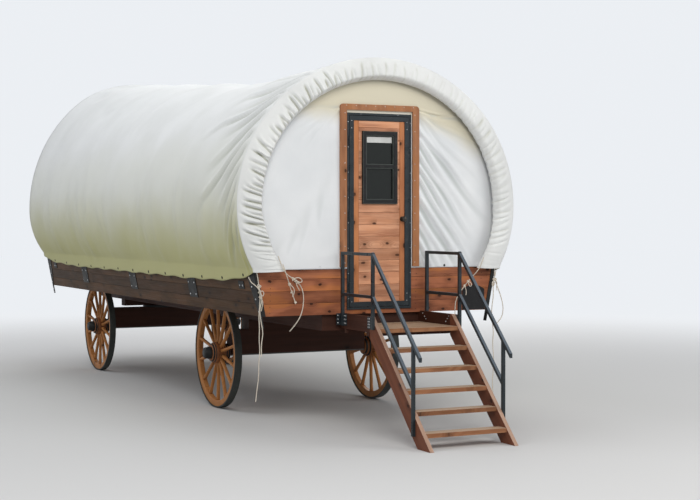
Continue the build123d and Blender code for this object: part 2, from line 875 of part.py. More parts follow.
def door_trim():
    """The wooden border round the frame, on the canvas of the end wall."""
    outer = trim_inner + trim_width
    front = wall_y - wall_canvas_gap - wall_canvas_thickness - trim_thickness
    back = front + trim_thickness
    solid = block((-outer, outer), (front, back), (trim_bottom, trim_top))
    upright = solid.edges().filter_by(Axis.Y).group_by(Axis.Z)[-1]
    solid = fillet(upright, trim_corner)
    solid -= block((-trim_inner, trim_inner), (front - 1, back + 1), (trim_bottom - 1, trim_top - trim_head))
    return solid


# Landing, stairs and rails

inner_half = stair_half_width - plank


def landing_rim(side):
    """One side board of the landing, let in under the end wall's lowest board."""
    outer = stair_centre + side * stair_half_width
    inner = stair_centre + side * inner_half
    return along_x([
        (wall_y - rim_length, rim_bottom),
        (wall_y + board_thickness, rim_bottom),
        (wall_y + board_thickness, board_bottom),
        (wall_y, board_bottom),
        (wall_y, rim_top),
        (wall_y - rim_length, rim_top),
    ], min(outer, inner), max(outer, inner))


def landing_bearers():
    """The two timbers that carry the landing's boards and tie its side boards."""
    solids = []
    for place in landing_bearer_places:
        solids.append(block((stair_centre - stair_half_width, stair_centre + stair_half_width),
                            (wall_y - place - plank, wall_y - place), (rim_bottom - cleat_size, rim_bottom)))
    return solids


def landing_boards():
    """The boards of the landing, the last one standing out over the stairs."""
    pitch = landing_depth / landing_board_count
    solids = []
    for index in range(landing_board_count):
        back = wall_y - index * pitch
        solids.append(block((stair_centre - inner_half, stair_centre + inner_half),
                            (back - pitch + landing_board_gap, back), (landing_top - plank, landing_top)))
    return solids


def stringer(side):
    """One sloping side of the stairs."""
    outer = stair_centre + side * stair_half_width
    inner = stair_centre + side * inner_half
    foot = stringer_front + rim_top
    return along_x([
        (wall_y - stringer_back, rim_top),
        (wall_y - stringer_front, rim_top),
        (wall_y - foot, 0),
        (wall_y - foot + stringer_foot, 0),
        (wall_y - stringer_back, foot - stringer_foot - stringer_back),
    ], min(outer, inner), max(outer, inner))


def treads():
    """The treads between the stringers."""
    solids = []
    for index in range(1, tread_count + 1):
        top = landing_top - index * step_rise
        front = wall_y - stringer_front - (rim_top - top) - nosing
        solids.append(block((stair_centre - inner_half, stair_centre + inner_half),
                            (front, front + tread_depth), (top - plank, top)))
    return solids


def slope_bar(side_x, place_from, height_from, place_to):
    """A square bar that runs down beside the stairs, as steep as they are."""
    half = rail_tube / 2
    rise = half * math.sqrt(2)
    drop = place_to - place_from
    return along_x([
        (wall_y - place_from, height_from - rise),
        (wall_y - place_from, height_from + rise),
        (wall_y - place_to, height_from - drop + rise),
        (wall_y - place_to, height_from - drop - rise),
    ], side_x - half, side_x + half)


def rail(side):
    """One welded rail with its posts and the plates that bolt it to the timber."""
    x = stair_centre + side * (stair_half_width + rail_tube / 2)
    half = rail_tube / 2

    def post(place, bottom, top):
        y = wall_y - place
        return block((x - half, x + half), (y - half, y + half), (bottom, top))

    def level_bar(height):
        return block((x - half, x + half), (wall_y - front_post_place, wall_y - back_post_place),
                     (height - half, height + half))

    lower_top = handrail_height - (lower_post_place - front_post_place)
    solid = post(back_post_place, front_post_bottom, handrail_height + half)
    solid += post(front_post_place, front_post_bottom, handrail_height + half)
    solid += post(lower_post_place, lower_post_bottom, lower_top)
    solid += level_bar(handrail_height) + level_bar(mid_rail_height)
    solid += slope_bar(x, front_post_place, handrail_height, handrail_end)
    solid += slope_bar(x, front_post_place, mid_rail_height, lower_post_place)
    face = stair_centre + side * stair_half_width
    wing = x + side * (half + bracket_width / 2)
    plate_x = (min(face, face + side * bracket_thickness), max(face, face + side * bracket_thickness))
    wall_plate_x = (min(face, wing), max(face, wing))
    solid += block(plate_x, (wall_y - back_post_place - bracket_width, wall_y),
                   (rim_top - bracket_height, rim_top))
    solid += block(wall_plate_x, (wall_y - bracket_thickness, wall_y),
                   (rim_top - bracket_height, rim_top))
    solid += block(plate_x, (wall_y - front_post_place, wall_y - front_post_place + 2 * bracket_width),
                   (rim_top - bracket_height, rim_top))
    return solid


# Ropes

def rope(name, route):
    """A rope as a tube along straight runs with an arc at each corner."""
    points = [Vector(x, wall_y - outward, z) for x, outward, z in route]
    runs = [after - before for before, after in zip(points, points[1:])]
    radii = []
    for run, following in zip(runs, runs[1:]):
        turn = math.radians(run.get_angle(following))
        radii.append(0.45 * min(run.length, following.length) / math.tan(turn / 2))
    path = FilletPolyline(*points, radius=radii)
    section = Plane(origin=points[0], z_dir=runs[0]) * Circle(rope_diameter / 2)
    tube = sweep(section, path=path)
    print(name, "length", round(path.length), "least radius", round(min(radii)),
          "volume share", round(tube.volume / (path.length * section.area), 4))
    return tube


os.makedirs("parts", exist_ok=True)

save("floor_deck", deck())
save("floor_joists", *joists())
save("floor_sills", *sills())
save("sill_bearers", *end_bearers())
save("side_boards_left", *side_boards(-1))
save("side_boards_right", *side_boards(1))
opening = door_opening(soft_clearance)
save("rear_end_boards", *[board - opening for board in end_boards(wall_y, wall_y + board_thickness)])
save("front_end_boards", *end_boards(far_wall_y - board_thickness, far_wall_y))
save("corner_irons", *both_sides(corner_iron(-1)), *both_sides(corner_iron(1)))
save("side_irons", *side_irons())
save("blank_plaque", plaque())

save("cover", cover())
save("rear_hem", end_hem(cover_stations[0], -1))
save("front_hem", end_hem(cover_stations[-1], 1))
save("rear_wall_canvas", wall_canvas(wall_y, -1, opening))
save("front_wall_canvas", wall_canvas(far_wall_y, 1))
save("bows", *bows())

save("door_frame", door_frame())
save("door_trim", door_trim())
save("door_leaf_steel", leaf_steel())
save("door_leaf_boards", leaf_boards())
save("window_frame", window_frame())
save("window_glass", window_glass())
save("door_knob", door_knob())

save("landing_rims", landing_rim(-1), landing_rim(1))
save("landing_bearers", *landing_bearers())
save("landing_boards", *landing_boards())
save("stair_stringers", stringer(-1), stringer(1))
save("stair_treads", *treads())
save("rail_left", rail(-1))
save("rail_right", rail(1))

save("rear_axle", axle(rear_axle_y))
save("rear_bolster", bolster(rear_axle_y))
save("rear_riser", rear_riser(rear_axle_y))
save("turntable_plate", turntable_upper())
save("turntable_riser", turntable_riser())
save("front_axle", axle(front_axle_y))
save("front_bolster", front_bolster())
save("turntable_ring", turntable_lower())
save("hounds", *hounds())
save("drawbar_jaws", *drawbar_jaws())

for rope_name, route in rope_routes.items():
    save(rope_name, rope(rope_name, route))

for end_name, end_y in (("rear", rear_axle_y), ("front", front_axle_y)):
    for side_name, side in (("left", -1), ("right", 1)):
        save("wheel_" + end_name + "_" + side_name, wheel(side, end_y))
        save("tyre_" + end_name + "_" + side_name, tyre(side, end_y))
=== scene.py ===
import math
import random

import bpy
import numpy as np
from mathutils import Matrix, Vector, noise


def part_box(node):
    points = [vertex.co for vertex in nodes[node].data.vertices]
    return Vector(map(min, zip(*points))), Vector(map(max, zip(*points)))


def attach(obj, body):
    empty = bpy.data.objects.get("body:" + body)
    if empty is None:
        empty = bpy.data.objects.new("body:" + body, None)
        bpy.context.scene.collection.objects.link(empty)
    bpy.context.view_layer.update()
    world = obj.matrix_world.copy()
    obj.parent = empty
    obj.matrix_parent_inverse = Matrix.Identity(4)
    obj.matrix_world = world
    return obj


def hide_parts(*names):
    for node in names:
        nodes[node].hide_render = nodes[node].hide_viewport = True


# Covered wagon. Metres; +Z up, the door end faces -Y, left is -X, the floor is z = 0.

X, Y, Z = range(3)
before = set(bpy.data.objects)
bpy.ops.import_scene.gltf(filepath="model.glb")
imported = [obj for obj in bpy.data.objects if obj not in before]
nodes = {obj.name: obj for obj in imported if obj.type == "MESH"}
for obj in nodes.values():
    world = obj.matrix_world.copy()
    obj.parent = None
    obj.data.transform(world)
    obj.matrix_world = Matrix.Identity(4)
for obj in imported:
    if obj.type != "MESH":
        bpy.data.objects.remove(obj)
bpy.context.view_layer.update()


def middle_y(node):
    """The middle of a node along the wagon."""
    low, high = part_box(node)
    return (low.y + high.y) / 2


# Sizes that the model was built to
WALL_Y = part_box("rear_end_boards")[0].y
FAR_WALL_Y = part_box("front_end_boards")[1].y
REAR_AXLE_Y = middle_y("rear_axle")
FRONT_AXLE_Y = middle_y("front_axle")
BOARD_BOTTOM = 1.075
BOARD_PITCH = 0.114
BOARD_ROWS = 4
FLOOR_HALF_WIDTH = 1.220
SIDE_FLARE = 0.197               # how far a side leans out for each metre up
SIDE_SLANT = math.hypot(1, SIDE_FLARE)
DOOR_PITCH = 0.115
DOOR_SEAM = 1.121                # a joint between the door's boards
LEAF_HALF_WIDTH = 0.275
LEAF_LOW = 1.186
LEAF_HIGH = 2.914
STILE_WIDTH = 0.055
FRAME_HALF_WIDTH = 0.347
FRAME_TOP = 2.9855
WINDOW_HALF_WIDTH = 0.187
WINDOW_LOW = 2.122
WINDOW_HIGH = 2.814
WINDOW_RIM = 0.036
CROSS_BAR_Z = (2.469, 2.493)
TOP_STRIP_Z = (2.706, 2.762)
STAIR_CENTRE = 0.045
STAIR_HALF_WIDTH = 0.4425
STEP_RISE = 0.168
RIM_THICKNESS = 0.038
KNEE_Z = 1.520                   # where the cover's outline leaves the sides
WIDEST_Z = 2.100
COVER_OFF = 0.0286               # from the sides to the cover
HOOP_OVERHANG = 0.055
CLOTH_THICKNESS = 0.0016
WHEEL_RADIUS = 0.577
WHEEL_FACE = 0.945
TYRE_WIDTH = 0.075
TYRE_THICKNESS = 0.014
FELLOE_DEPTH = 0.062
FELLOE_WIDTH = 0.060
FELLOE_COUNT = 7
SPOKE_COUNT = 14
SPINDLE_BORE = 0.0255
HUB_INNER_FACE = 0.795
HUB_OUTER_FACE = 0.990

REAR_EDGE_Y = WALL_Y - HOOP_OVERHANG
FRONT_EDGE_Y = FAR_WALL_Y + HOOP_OVERHANG

# The cover's hoops: place along the wagon, crown height and half width
COVER_STATIONS = [
    (REAR_EDGE_Y, 3.515, 1.490),
    (WALL_Y + 2.300, 3.470, 1.480),
    (FRONT_EDGE_Y, 3.870, 1.530),
]


# Small tools

def add_object(name, data):
    """A new object in the scene."""
    made = bpy.data.objects.new(name, data)
    bpy.context.scene.collection.objects.link(made)
    return made


def turns(count):
    """Angles in even steps round a full turn."""
    return [2 * math.pi * i / count for i in range(count)]


def spread(low, high, count):
    """Values in even steps from low to high."""
    return [low + (high - low) * i / (count - 1) for i in range(count)]


def circle(centre, across, other, radius, sides):
    """Points of a circle in the plane of two directions."""
    return [centre + (across * math.cos(a) + other * math.sin(a)) * radius for a in turns(sides)]


class Shape:
    """Vertices and faces gathered from several simple forms."""

    def __init__(self):
        self.vertices = []
        self.faces = []

    def add(self, vertices, faces):
        start = len(self.vertices)
        self.vertices += vertices
        self.faces += [tuple(start + i for i in face) for face in faces]

    def grid(self, rows, closed=False):
        """Faces over rows of points; closed joins the last column to the first."""
        count = len(rows[0])
        faces = []
        for r in range(len(rows) - 1):
            for c in range(count if closed else count - 1):
                n = (c + 1) % count
                faces.append((r * count + c, r * count + n, (r + 1) * count + n, (r + 1) * count + c))
        self.add([point for row in rows for point in row], faces)

    def tube(self, rings):
        """A closed skin through rings of points, capped at both ends."""
        count = len(rings[0])
        start = len(self.vertices)
        self.grid(rings, closed=True)
        last = len(self.vertices) - count
        self.faces.append(tuple(start + i for i in reversed(range(count))))
        self.faces.append(tuple(last + i for i in range(count)))

    def lathe(self, profile, centre, axis, sides=32):
        """A turned form from (radius, distance along the axis) pairs."""
        direction = Vector(axis).normalized()
        across = direction.orthogonal().normalized()
        other = direction.cross(across)
        self.tube([circle(Vector(centre) + direction * along, across, other, radius, sides)
                   for radius, along in profile])

    def box(self, x, y, z):
        """A box between two places on each axis."""
        faces = [(0, 1, 3, 2), (4, 6, 7, 5), (0, 4, 5, 1), (2, 3, 7, 6), (0, 2, 6, 4), (1, 5, 7, 3)]
        self.add([(x[i], y[j], z[k]) for i in (0, 1) for j in (0, 1) for k in (0, 1)], faces)

    def border(self, half_width, heights, width, depth):
        """Four bars round an opening: two uprights with two cross bars between them."""
        low, high = heights
        between = (-half_width + width, half_width - width)
        self.box((-half_width, between[0]), depth, heights)
        self.box((between[1], half_width), depth, heights)
        self.box(between, depth, (low, low + width))
        self.box(between, depth, (high - width, high))

    def piece(self, name, body, material, slot, smooth=True, creases=None):
        """A mesh object that rides on a body; creases says how deep in a fold each vertex lies, 0 to 1, and
        sets painted shade.
        """
        mesh = bpy.data.meshes.new(name)
        mesh.from_pydata([tuple(v) for v in self.vertices], [], self.faces)
        if creases is not None:
            mesh.attributes.new("crease", "FLOAT", "POINT").data.foreach_set("value", creases)
        mesh.validate()
        mesh.update()
        mesh.polygons.foreach_set("use_smooth", [smooth] * len(mesh.polygons))
        piece = add_object(name, mesh)
        mesh.materials.append(material)
        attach(piece, body)
        return piece


def soften(piece, width, segments=2, angle=35.0):
    """Rounded edges that catch the light."""
    bevel = piece.modifiers.new("edges", "BEVEL")
    bevel.width = width
    bevel.segments = segments
    bevel.limit_method = "ANGLE"
    bevel.angle_limit = math.radians(angle)


# Shader nodes

class Output:
    """An output of a shader node, on which plain arithmetic works."""

    def __init__(self, owner, node, key):
        self.owner = owner
        self.node = node
        self.key = key

    def other(self, key):
        """Another output of the same node."""
        return Output(self.owner, self.node, key)

    def __add__(self, value):
        return self.owner.math("ADD", self, value)

    def __sub__(self, value):
        return self.owner.math("SUBTRACT", self, value)

    def __mul__(self, value):
        return self.owner.math("MULTIPLY", self, value)

    def __truediv__(self, value):
        return self.owner.math("DIVIDE", self, value)

    def span(self, low, high, to_low=0.0, to_high=1.0):
        """A smooth change from to_low to to_high while the value runs from low to high."""
        inputs = {"Value": self, "From Min": low, "From Max": high, "To Min": to_low, "To Max": to_high}
        return self.owner.node("MapRange", inputs, interpolation_type="SMOOTHSTEP")


class Nodes:
    """A tree of shader nodes that are added one by one."""

    def __init__(self, owner):
        owner.use_nodes = True
        self.tree = owner.node_tree
        self.tree.nodes.clear()

    def node(self, kind, inputs=None, output=0, **settings):
        """A node; inputs gives an output or a plain value for each of its sockets."""
        made = self.tree.nodes.new("ShaderNode" + kind)
        for key, value in settings.items():
            setattr(made, key, value)
        for key, value in (inputs or {}).items():
            socket = made.inputs[key]
            if isinstance(value, Output):
                self.tree.links.new(value.node.outputs[value.key], socket)
            elif socket.type == "RGBA":
                socket.default_value = (*value, 1.0)
            else:
                socket.default_value = value
        return Output(self, made, output)

    def math(self, operation, a, b=0.0, clamp=False):
        return self.node("Math", {0: a, 1: b}, operation=operation, use_clamp=clamp)

    def vectors(self, operation, a, b):
        return self.node("VectorMath", {0: a, 1: b}, operation=operation)

    def seen_share(self):
        """1 for what the camera sees, straight, in gloss or through glass, and 0 for light on surfaces."""
        camera = self.node("LightPath", output="Is Camera Ray")
        seen = self.math("MAXIMUM", camera, camera.other("Is Glossy Ray"))
        return self.math("MAXIMUM", seen, camera.other("Is Transmission Ray"))


class Paint(Nodes):
    """A material."""

    SOCKETS = {"color": "Base Color", "roughness": "Roughness", "metallic": "Metallic", "normal": "Normal",
               "specular": "Specular IOR Level", "sheen": "Sheen Weight", "ior": "IOR",
               "transmission": "Transmission Weight", "glow_color": "Emission Color",
               "glow": "Emission Strength"}

    def __init__(self, name):
        self.material = bpy.data.materials.new(name)
        super().__init__(self.material)
        self.place = self.node("TexCoord", output="Object")
        self.facing = self.place.other("Normal")

    def axes(self, vector):
        """The X, Y and Z parts of a vector."""
        first = self.node("SeparateXYZ", {0: vector})
        return [first, first.other(Y), first.other(Z)]

    def vector(self, x, y, z):
        return self.node("CombineXYZ", {X: x, Y: y, Z: z})

    def looks_up(self):
        """1 on faces that look up."""
        return self.axes(self.facing)[Z].span(0.35, 0.75)

    def noise(self, vector, scale, detail=4.0, roughness=0.55, distortion=0.0):
        """Clouds, with one scale or one for each axis."""
        if isinstance(scale, tuple):
            vector = self.vectors("MULTIPLY", vector, scale)
            scale = 1.0
        return self.node("TexNoise", {"Vector": vector, "Scale": scale, "Detail": detail,
                                      "Roughness": roughness, "Distortion": distortion})

    def chance(self, value):
        """A random number from 0 to 1 for each value."""
        return self.node("TexWhiteNoise", {"W": value}, "Value", noise_dimensions="1D")

    def mix(self, share, first, second, blend="MIX"):
        """The first colour with a share of the second."""
        return self.node("Mix", {"Factor": share, 6: first, 7: second}, 2, data_type="RGBA", blend_type=blend)

    def bump(self, height, strength, distance, coarse=None):
        """Relief, on top of a coarse one if that is given."""
        inputs = {"Height": height, "Strength": strength, "Distance": distance}
        if coarse:
            inputs["Normal"] = coarse
        return self.node("Bump", inputs)

    def finish(self, **values):
        """The surface itself."""
        inputs = {self.SOCKETS[key]: value for key, value in values.items()}
        self.node("OutputMaterial", {"Surface": self.node("BsdfPrincipled", inputs, "BSDF")})
        return self.material


def dimmed(color, *factors):
    """A colour times one factor, or times a factor for each channel."""
    return tuple(c * f for c, f in zip(color, factors * 3))


# Materials

RING_SPACING = 0.0075            # between a board's year rings
PLANKS = (Z, BOARD_PITCH, BOARD_BOTTOM)  # the walls' boards, in the form that wood takes


def wood(name, grain, thin, light, dark, variation=0.35, knots=0.2, boards=None, slope=0.0, rough=0.62,
         worn_top=None, patchy=0.0, patch=None):
    """Timber with year rings, fibres, knots and a tone for each board.

    grain and thin are the axes of the fibres and of the board's thickness; boards is the axis
    along which boards follow each other, their pitch and the place of a joint; slope turns the
    grain in the YZ plane; worn_top is the colour of faces that look up; patchy is how strongly
    long patches of the colour patch, and of a darker tone, show."""
    paint = Paint(name)
    place = paint.place
    if slope:
        place = paint.node("Mapping", {"Vector": place, "Rotation": (math.radians(slope), 0, 0)})
    parts = paint.axes(place)
    wide_axis = X + Y + Z - grain - thin
    wide = parts[wide_axis]
    number = 0.0
    if boards:
        axis, pitch, joint = boards
        from_joint = parts[axis] - joint
        number = paint.math("FLOOR", from_joint / pitch)
        if axis == wide_axis:
            wide = from_joint - (number + 0.5) * pitch
    luck = paint.chance(number)
    other_luck = paint.chance(number + 0.37)
    along = parts[grain] + luck * 37.0
    local = paint.vector(along, wide, parts[thin])

    ragged = paint.noise(local, 26.0, 3.0, 0.6) * 0.035
    cells = paint.vectors("MULTIPLY", paint.vector(along + ragged, wide + luck, 0.0), (4.2, 7.0, 0.0))
    distance = paint.node("TexVoronoi", {"Vector": cells, "Scale": 1.0}, "Distance", voronoi_dimensions="2D")
    present = paint.math("GREATER_THAN", paint.axes(distance.other("Color"))[X], 1.0 - knots)
    near_knot = distance.span(0.42, 0.05) * present
    knot_core = distance.span(0.100, 0.060) * present

    wander = paint.noise(local, (1.3, 2.0, 2.0), 2.0, 0.5) - 0.5
    aside = wide - other_luck.span(0.0, 1.0, -0.07, 0.07) + wander * 0.11
    depth = wander * 0.04 + 0.035
    from_pith = paint.math("SQRT", aside * aside + depth * depth) + near_knot * 0.016
    ring_tone = paint.math("SINE", from_pith * (2 * math.pi / RING_SPACING)).span(-1.0, 0.7)
    fibre = paint.noise(local, (3.0, 150.0, 150.0), 4.0, 0.6)
    streak = paint.noise(local, (0.8, 16.0, 16.0), 4.0, 0.6)
    tone = ring_tone * 0.34 + streak.span(0.41, 0.60) * 0.46
    tone = paint.math("ADD", tone, fibre.span(0.35, 0.66) * 0.28, clamp=True)

    color = paint.mix(tone, dark, light)
    color = paint.mix(other_luck * 0.45, color, dimmed(light, 0.92, 0.80, 0.78))
    if patchy:
        stain = paint.noise(local, (1.9, 6.0, 6.0), 3.0, 0.5)
        color = paint.mix(stain.span(0.50, 0.62) * patchy, color, patch)
        color = paint.mix(stain.span(0.48, 0.36) * patchy, color, dark)
    board_tone = luck.span(0.0, 1.0, 1.0 - variation, 1.0 + variation * 0.5)
    color = paint.mix(1.0, color, paint.vector(board_tone, board_tone, board_tone), "MULTIPLY")
    color = paint.mix(near_knot * 0.45, color, dimmed(dark, 0.55))
    color = paint.mix(knot_core * 0.95, color, dimmed(dark, 0.22))
    dirt = paint.noise(paint.place, 3.2, 5.0, 0.6).span(0.45, 0.75)
    color = paint.mix(dirt * 0.15, color, dimmed(dark, 0.45))
    if worn_top:
        worn = paint.mix(fibre.span(0.3, 0.7), dimmed(worn_top, 0.78), worn_top)
        color = paint.mix(paint.looks_up() * streak.span(0.28, 0.55, 0.55, 0.95), color, worn)
    return paint.finish(color=color, roughness=fibre.span(0.3, 0.7, rough - 0.08, rough + 0.1), specular=0.2,
                        normal=paint.bump(fibre * 0.7 + ring_tone * 0.3, 0.30, 0.0012))


def painted(name, color, rough, wear=0.0, worn=None, metallic=0.0, upper=None):
    """Paint on steel, with a fine orange peel and faint dust.

    wear is how strongly worn patches of the colour worn show; upper is the colour of faces
    that look up: a painted reflection of the sky."""
    paint = Paint(name)
    broad = paint.noise(paint.place, 7.0, 5.0, 0.6)
    tone = paint.mix(broad.span(0.3, 0.7), dimmed(color, 0.86), dimmed(color, 1.12))
    dusty = paint.noise(paint.place, 21.0, 6.0, 0.65).span(0.52, 0.8)
    tone = paint.mix(dusty * 0.08, tone, (0.30, 0.29, 0.27))
    if worn:
        patches = paint.noise(paint.place, 34.0, 7.0, 0.7).span(0.60, 0.70)
        tone = paint.mix(patches * wear, tone, worn)
    # Painted reflection of the sky on faces that look up.
    if upper:
        tone = paint.mix(paint.looks_up() * 0.9, tone, upper)
    peel = paint.noise(paint.place, 240.0, 2.0, 0.5)
    return paint.finish(color=tone, roughness=broad.span(0.3, 0.7, rough - 0.06, rough + 0.12),
                        metallic=metallic, normal=paint.bump(peel, 0.05, 0.0006), specular=0.22)


def canvas(name, color, shade, fold, fold_shade_share, painted_light_tints=(), slant=0.0):
    """Woven cloth with a soft sheen, faint creases, slow changes of tone and painted shade in its folds.

    The tints paint shade and light that the cloth lets through; each is (colour, share, height where
    it starts, height where it is full); slant lowers those heights towards the right."""
    paint = Paint(name)
    x, y, z = paint.axes(paint.place)
    broad = paint.noise(paint.place, 1.7, 4.0, 0.5)
    tone = paint.mix(broad.span(0.3, 0.7), shade, color)
    stain = paint.noise(paint.place, (5.0, 5.0, 1.4), 6.0, 0.6).span(0.55, 0.85)
    tone = paint.mix(stain * 0.16, tone, dimmed(shade, 0.86))
    height = z + broad * 0.25
    if slant:
        height = height + paint.math("MAXIMUM", x - 0.40, 0.0) * slant
    # Painted shade low on the cover's sides, and painted light through the wall's cloth near its top.
    for tint, share, start, full in painted_light_tints:
        tone = paint.mix(height.span(start, full) * share, tone, tint)
    # The crease attribute darkens the cloth towards the fold colour: painted shade in folds and pleats.
    crease = paint.node("Attribute", output="Fac", attribute_name="crease")
    tone = paint.mix(paint.math("MULTIPLY", crease, fold_shade_share, clamp=True), tone, fold)
    threads = 4200.0
    weave = paint.math("SINE", (x + y) * threads) * paint.math("SINE", z * threads)
    crumple = paint.noise(paint.place, (9.0, 9.0, 5.0), 5.0, 0.62, 0.6)
    normal = paint.bump(weave, 0.06, 0.0004, paint.bump(crumple, 0.22, 0.006))
    return paint.finish(color=tone, roughness=0.82, sheen=0.25, specular=0.25, normal=normal)


def laid_cord(name, color, groove_color, lay):
    """Twisted cord: slanting strands with darker grooves between them, a length lay apart."""
    paint = Paint(name)
    x, y, z = paint.axes(paint.place)
    slant = z + (x - y) * 0.8
    raised = paint.math("SINE", slant * (2 * math.pi / lay)).span(-1.0, 0.3)
    fibre = paint.noise(paint.place, 900.0, 3.0, 0.6)
    tone = paint.mix(fibre * 0.30, paint.mix(raised, groove_color, color), groove_color)
    return paint.finish(color=tone, roughness=0.85, sheen=0.2, specular=0.2,
                        normal=paint.bump(raised + fibre * 0.35, 0.6, 0.0012))


def pane_glass():
    """A dark pane with faint smears."""
    paint = Paint("pane_glass")
    smear = paint.noise(paint.place, 6.0, 4.0, 0.5).span(0.3, 0.7, 0.03, 0.09)
    return paint.finish(color=(0.020, 0.024, 0.022), roughness=smear, transmission=0.35, ior=1.45,
                        specular=0.22)


GEAR_LIGHT, GEAR_DARK = (0.060, 0.023, 0.014), (0.020, 0.009, 0.006)
WOOD_END = wood("end_planks", X, Y, (0.42, 0.160, 0.078), (0.135, 0.040, 0.020), variation=0.25, knots=0.65,
                boards=PLANKS, patchy=0.6, patch=(0.47, 0.165, 0.048))
WOOD_SIDE = wood("side_planks", Y, X, (0.086, 0.046, 0.019), (0.028, 0.014, 0.006), knots=0.4,
                 boards=PLANKS, patchy=0.35, patch=(0.135, 0.064, 0.030))
WOOD_FLOOR = wood("floor_planks", Y, Z, (0.46, 0.31, 0.19), (0.25, 0.15, 0.085), variation=0.3, knots=0.25,
                  boards=(X, 0.18, 0.0))
WOOD_CROSS = wood("cross_timbers", X, Y, GEAR_LIGHT, GEAR_DARK, variation=0.2, knots=0.08)
WOOD_LONG = wood("long_timbers", Y, X, GEAR_LIGHT, GEAR_DARK, variation=0.2, knots=0.08)
WOOD_STRINGER = wood("stringer_timber", Y, X, (0.215, 0.080, 0.042), (0.078, 0.027, 0.015), variation=0.15,
                     slope=-45.0, worn_top=(0.52, 0.34, 0.25))
WOOD_RIM = wood("rim_timber", Y, X, (0.068, 0.024, 0.013), (0.026, 0.010, 0.006), variation=0.15)
WOOD_TREAD = wood("tread_timber", X, Z, (0.38, 0.185, 0.090), (0.17, 0.068, 0.032), variation=0.25, knots=0.3,
                  boards=(Z, STEP_RISE, 0.05), worn_top=(0.50, 0.36, 0.25))
WOOD_DOOR = wood("door_planks", X, Y, (0.74, 0.400, 0.245), (0.31, 0.116, 0.056), variation=0.22, knots=0.6,
                 boards=(Z, DOOR_PITCH, DOOR_SEAM), patchy=0.4, patch=(0.63, 0.28, 0.14))
WOOD_STILE = wood("door_stiles", Z, Y, (0.58, 0.255, 0.115), (0.25, 0.080, 0.030), variation=0.2, knots=0.3,
                  patchy=0.3, patch=(0.55, 0.21, 0.065))
WOOD_TRIM = wood("trim_timber", Z, Y, (0.46, 0.225, 0.112), (0.19, 0.078, 0.036), variation=0.15, knots=0.25,
                 patchy=0.5, patch=(0.36, 0.145, 0.052))
WOOD_BOW = wood("bow_timber", X, Y, (0.50, 0.37, 0.24), (0.30, 0.20, 0.12))
SPOKE_WOOD = wood("spoke_wood", Z, X, (0.52, 0.240, 0.078), (0.27, 0.105, 0.030), knots=0.1, rough=0.5)
HUB_WOOD = wood("hub_wood", Z, X, (0.40, 0.175, 0.070), (0.18, 0.070, 0.030), knots=0.1, rough=0.5)
# The rails' lighter, bluer upper faces are a painted reflection of the sky.
STEEL = painted("rail_paint", (0.022, 0.029, 0.034), rough=0.32, wear=0.25, worn=(0.07, 0.065, 0.06),
                upper=(0.105, 0.128, 0.155))
IRON = painted("dark_iron", (0.016, 0.017, 0.017), rough=0.5, wear=0.4, worn=(0.06, 0.04, 0.03))
AXLE = painted("axle_steel", (0.095, 0.100, 0.098), rough=0.5, wear=0.4, worn=(0.14, 0.10, 0.07))
BLACK = painted("black_plate", (0.009, 0.009, 0.010), rough=0.4)
BAND = painted("tyre_band", (0.042, 0.046, 0.043), rough=0.5, wear=0.5, worn=(0.12, 0.08, 0.055))
ZINC = painted("bolt_zinc", (0.55, 0.56, 0.57), rough=0.3, wear=0.4, worn=(0.3, 0.28, 0.25), metallic=0.85)
BRASS = painted("knob_bronze", (0.05, 0.045, 0.04), rough=0.3, wear=0.4, worn=(0.25, 0.18, 0.10),
                metallic=0.8)
SASH = painted("sash_paint", (0.050, 0.058, 0.053), rough=0.3)
# Pale paint for the bar across the top of the upper pane: a painted reflection of the sky.
SKY_REFLECTION_PAINT = painted("painted_reflection_white", (0.55, 0.56, 0.55), rough=0.4)
# The cover's two tints are painted shade: greyer, then olive, down towards the foot of its sides.
# The fold colours below are painted shade in the cloth's folds, pleats and creases.
CLOTH = canvas("cover_cloth", (0.80, 0.815, 0.815), (0.73, 0.745, 0.74), fold=(0.44, 0.46, 0.40),
               fold_shade_share=0.62, painted_light_tints=[((0.76, 0.775, 0.70), 0.60, 3.10, 2.55),
                                       ((0.48, 0.465, 0.17), 0.93, 2.58, 1.60)])
HEM_CLOTH = canvas("hem_cloth", (0.79, 0.805, 0.80), (0.71, 0.725, 0.72), fold=(0.36, 0.36, 0.25),
                   fold_shade_share=0.75)
# The wall's cream tint near its top, reaching lower towards the right, is painted light let through the cloth
# in the shade of the band.
WALL_CLOTH = canvas("wall_cloth", (0.80, 0.82, 0.84), (0.72, 0.745, 0.77), fold=(0.44, 0.475, 0.47),
                    fold_shade_share=0.85, painted_light_tints=[((0.66, 0.61, 0.46), 0.90, 2.97, 3.20)], slant=0.46)
ROPE = laid_cord("rope_fibre", (0.80, 0.74, 0.64), (0.50, 0.43, 0.34), 0.0070)
GLASS = pane_glass()


# Camera and cords come first

PHOTO_WIDTH = 700                # pixels
FOCAL_PIXELS = 1445.0
CAMERA_YAW = math.radians(26.54)
CAMERA_PITCH = math.radians(-1.20)
CAMERA_PLACE = (-6.44, WALL_Y - 12.27, 1.97)


def make_camera():
    """The photograph's own view."""
    level = math.cos(CAMERA_PITCH)
    forward = Vector((math.sin(CAMERA_YAW) * level, math.cos(CAMERA_YAW) * level, math.sin(CAMERA_PITCH)))
    right = Vector((math.cos(CAMERA_YAW), -math.sin(CAMERA_YAW), 0))
    up = right.cross(forward)
    data = bpy.data.cameras.new("photo_camera")
    data.sensor_width = 36.0
    data.lens = FOCAL_PIXELS / PHOTO_WIDTH * data.sensor_width
    data.clip_end = 200
    camera = add_object("photo_camera", data)
    turn = Matrix((right, up, -forward)).transposed().to_4x4()
    camera.matrix_world = Matrix.Translation(Vector(CAMERA_PLACE)) @ turn
    bpy.context.scene.camera = camera


make_camera()

ROPE_DIAMETER = 0.009

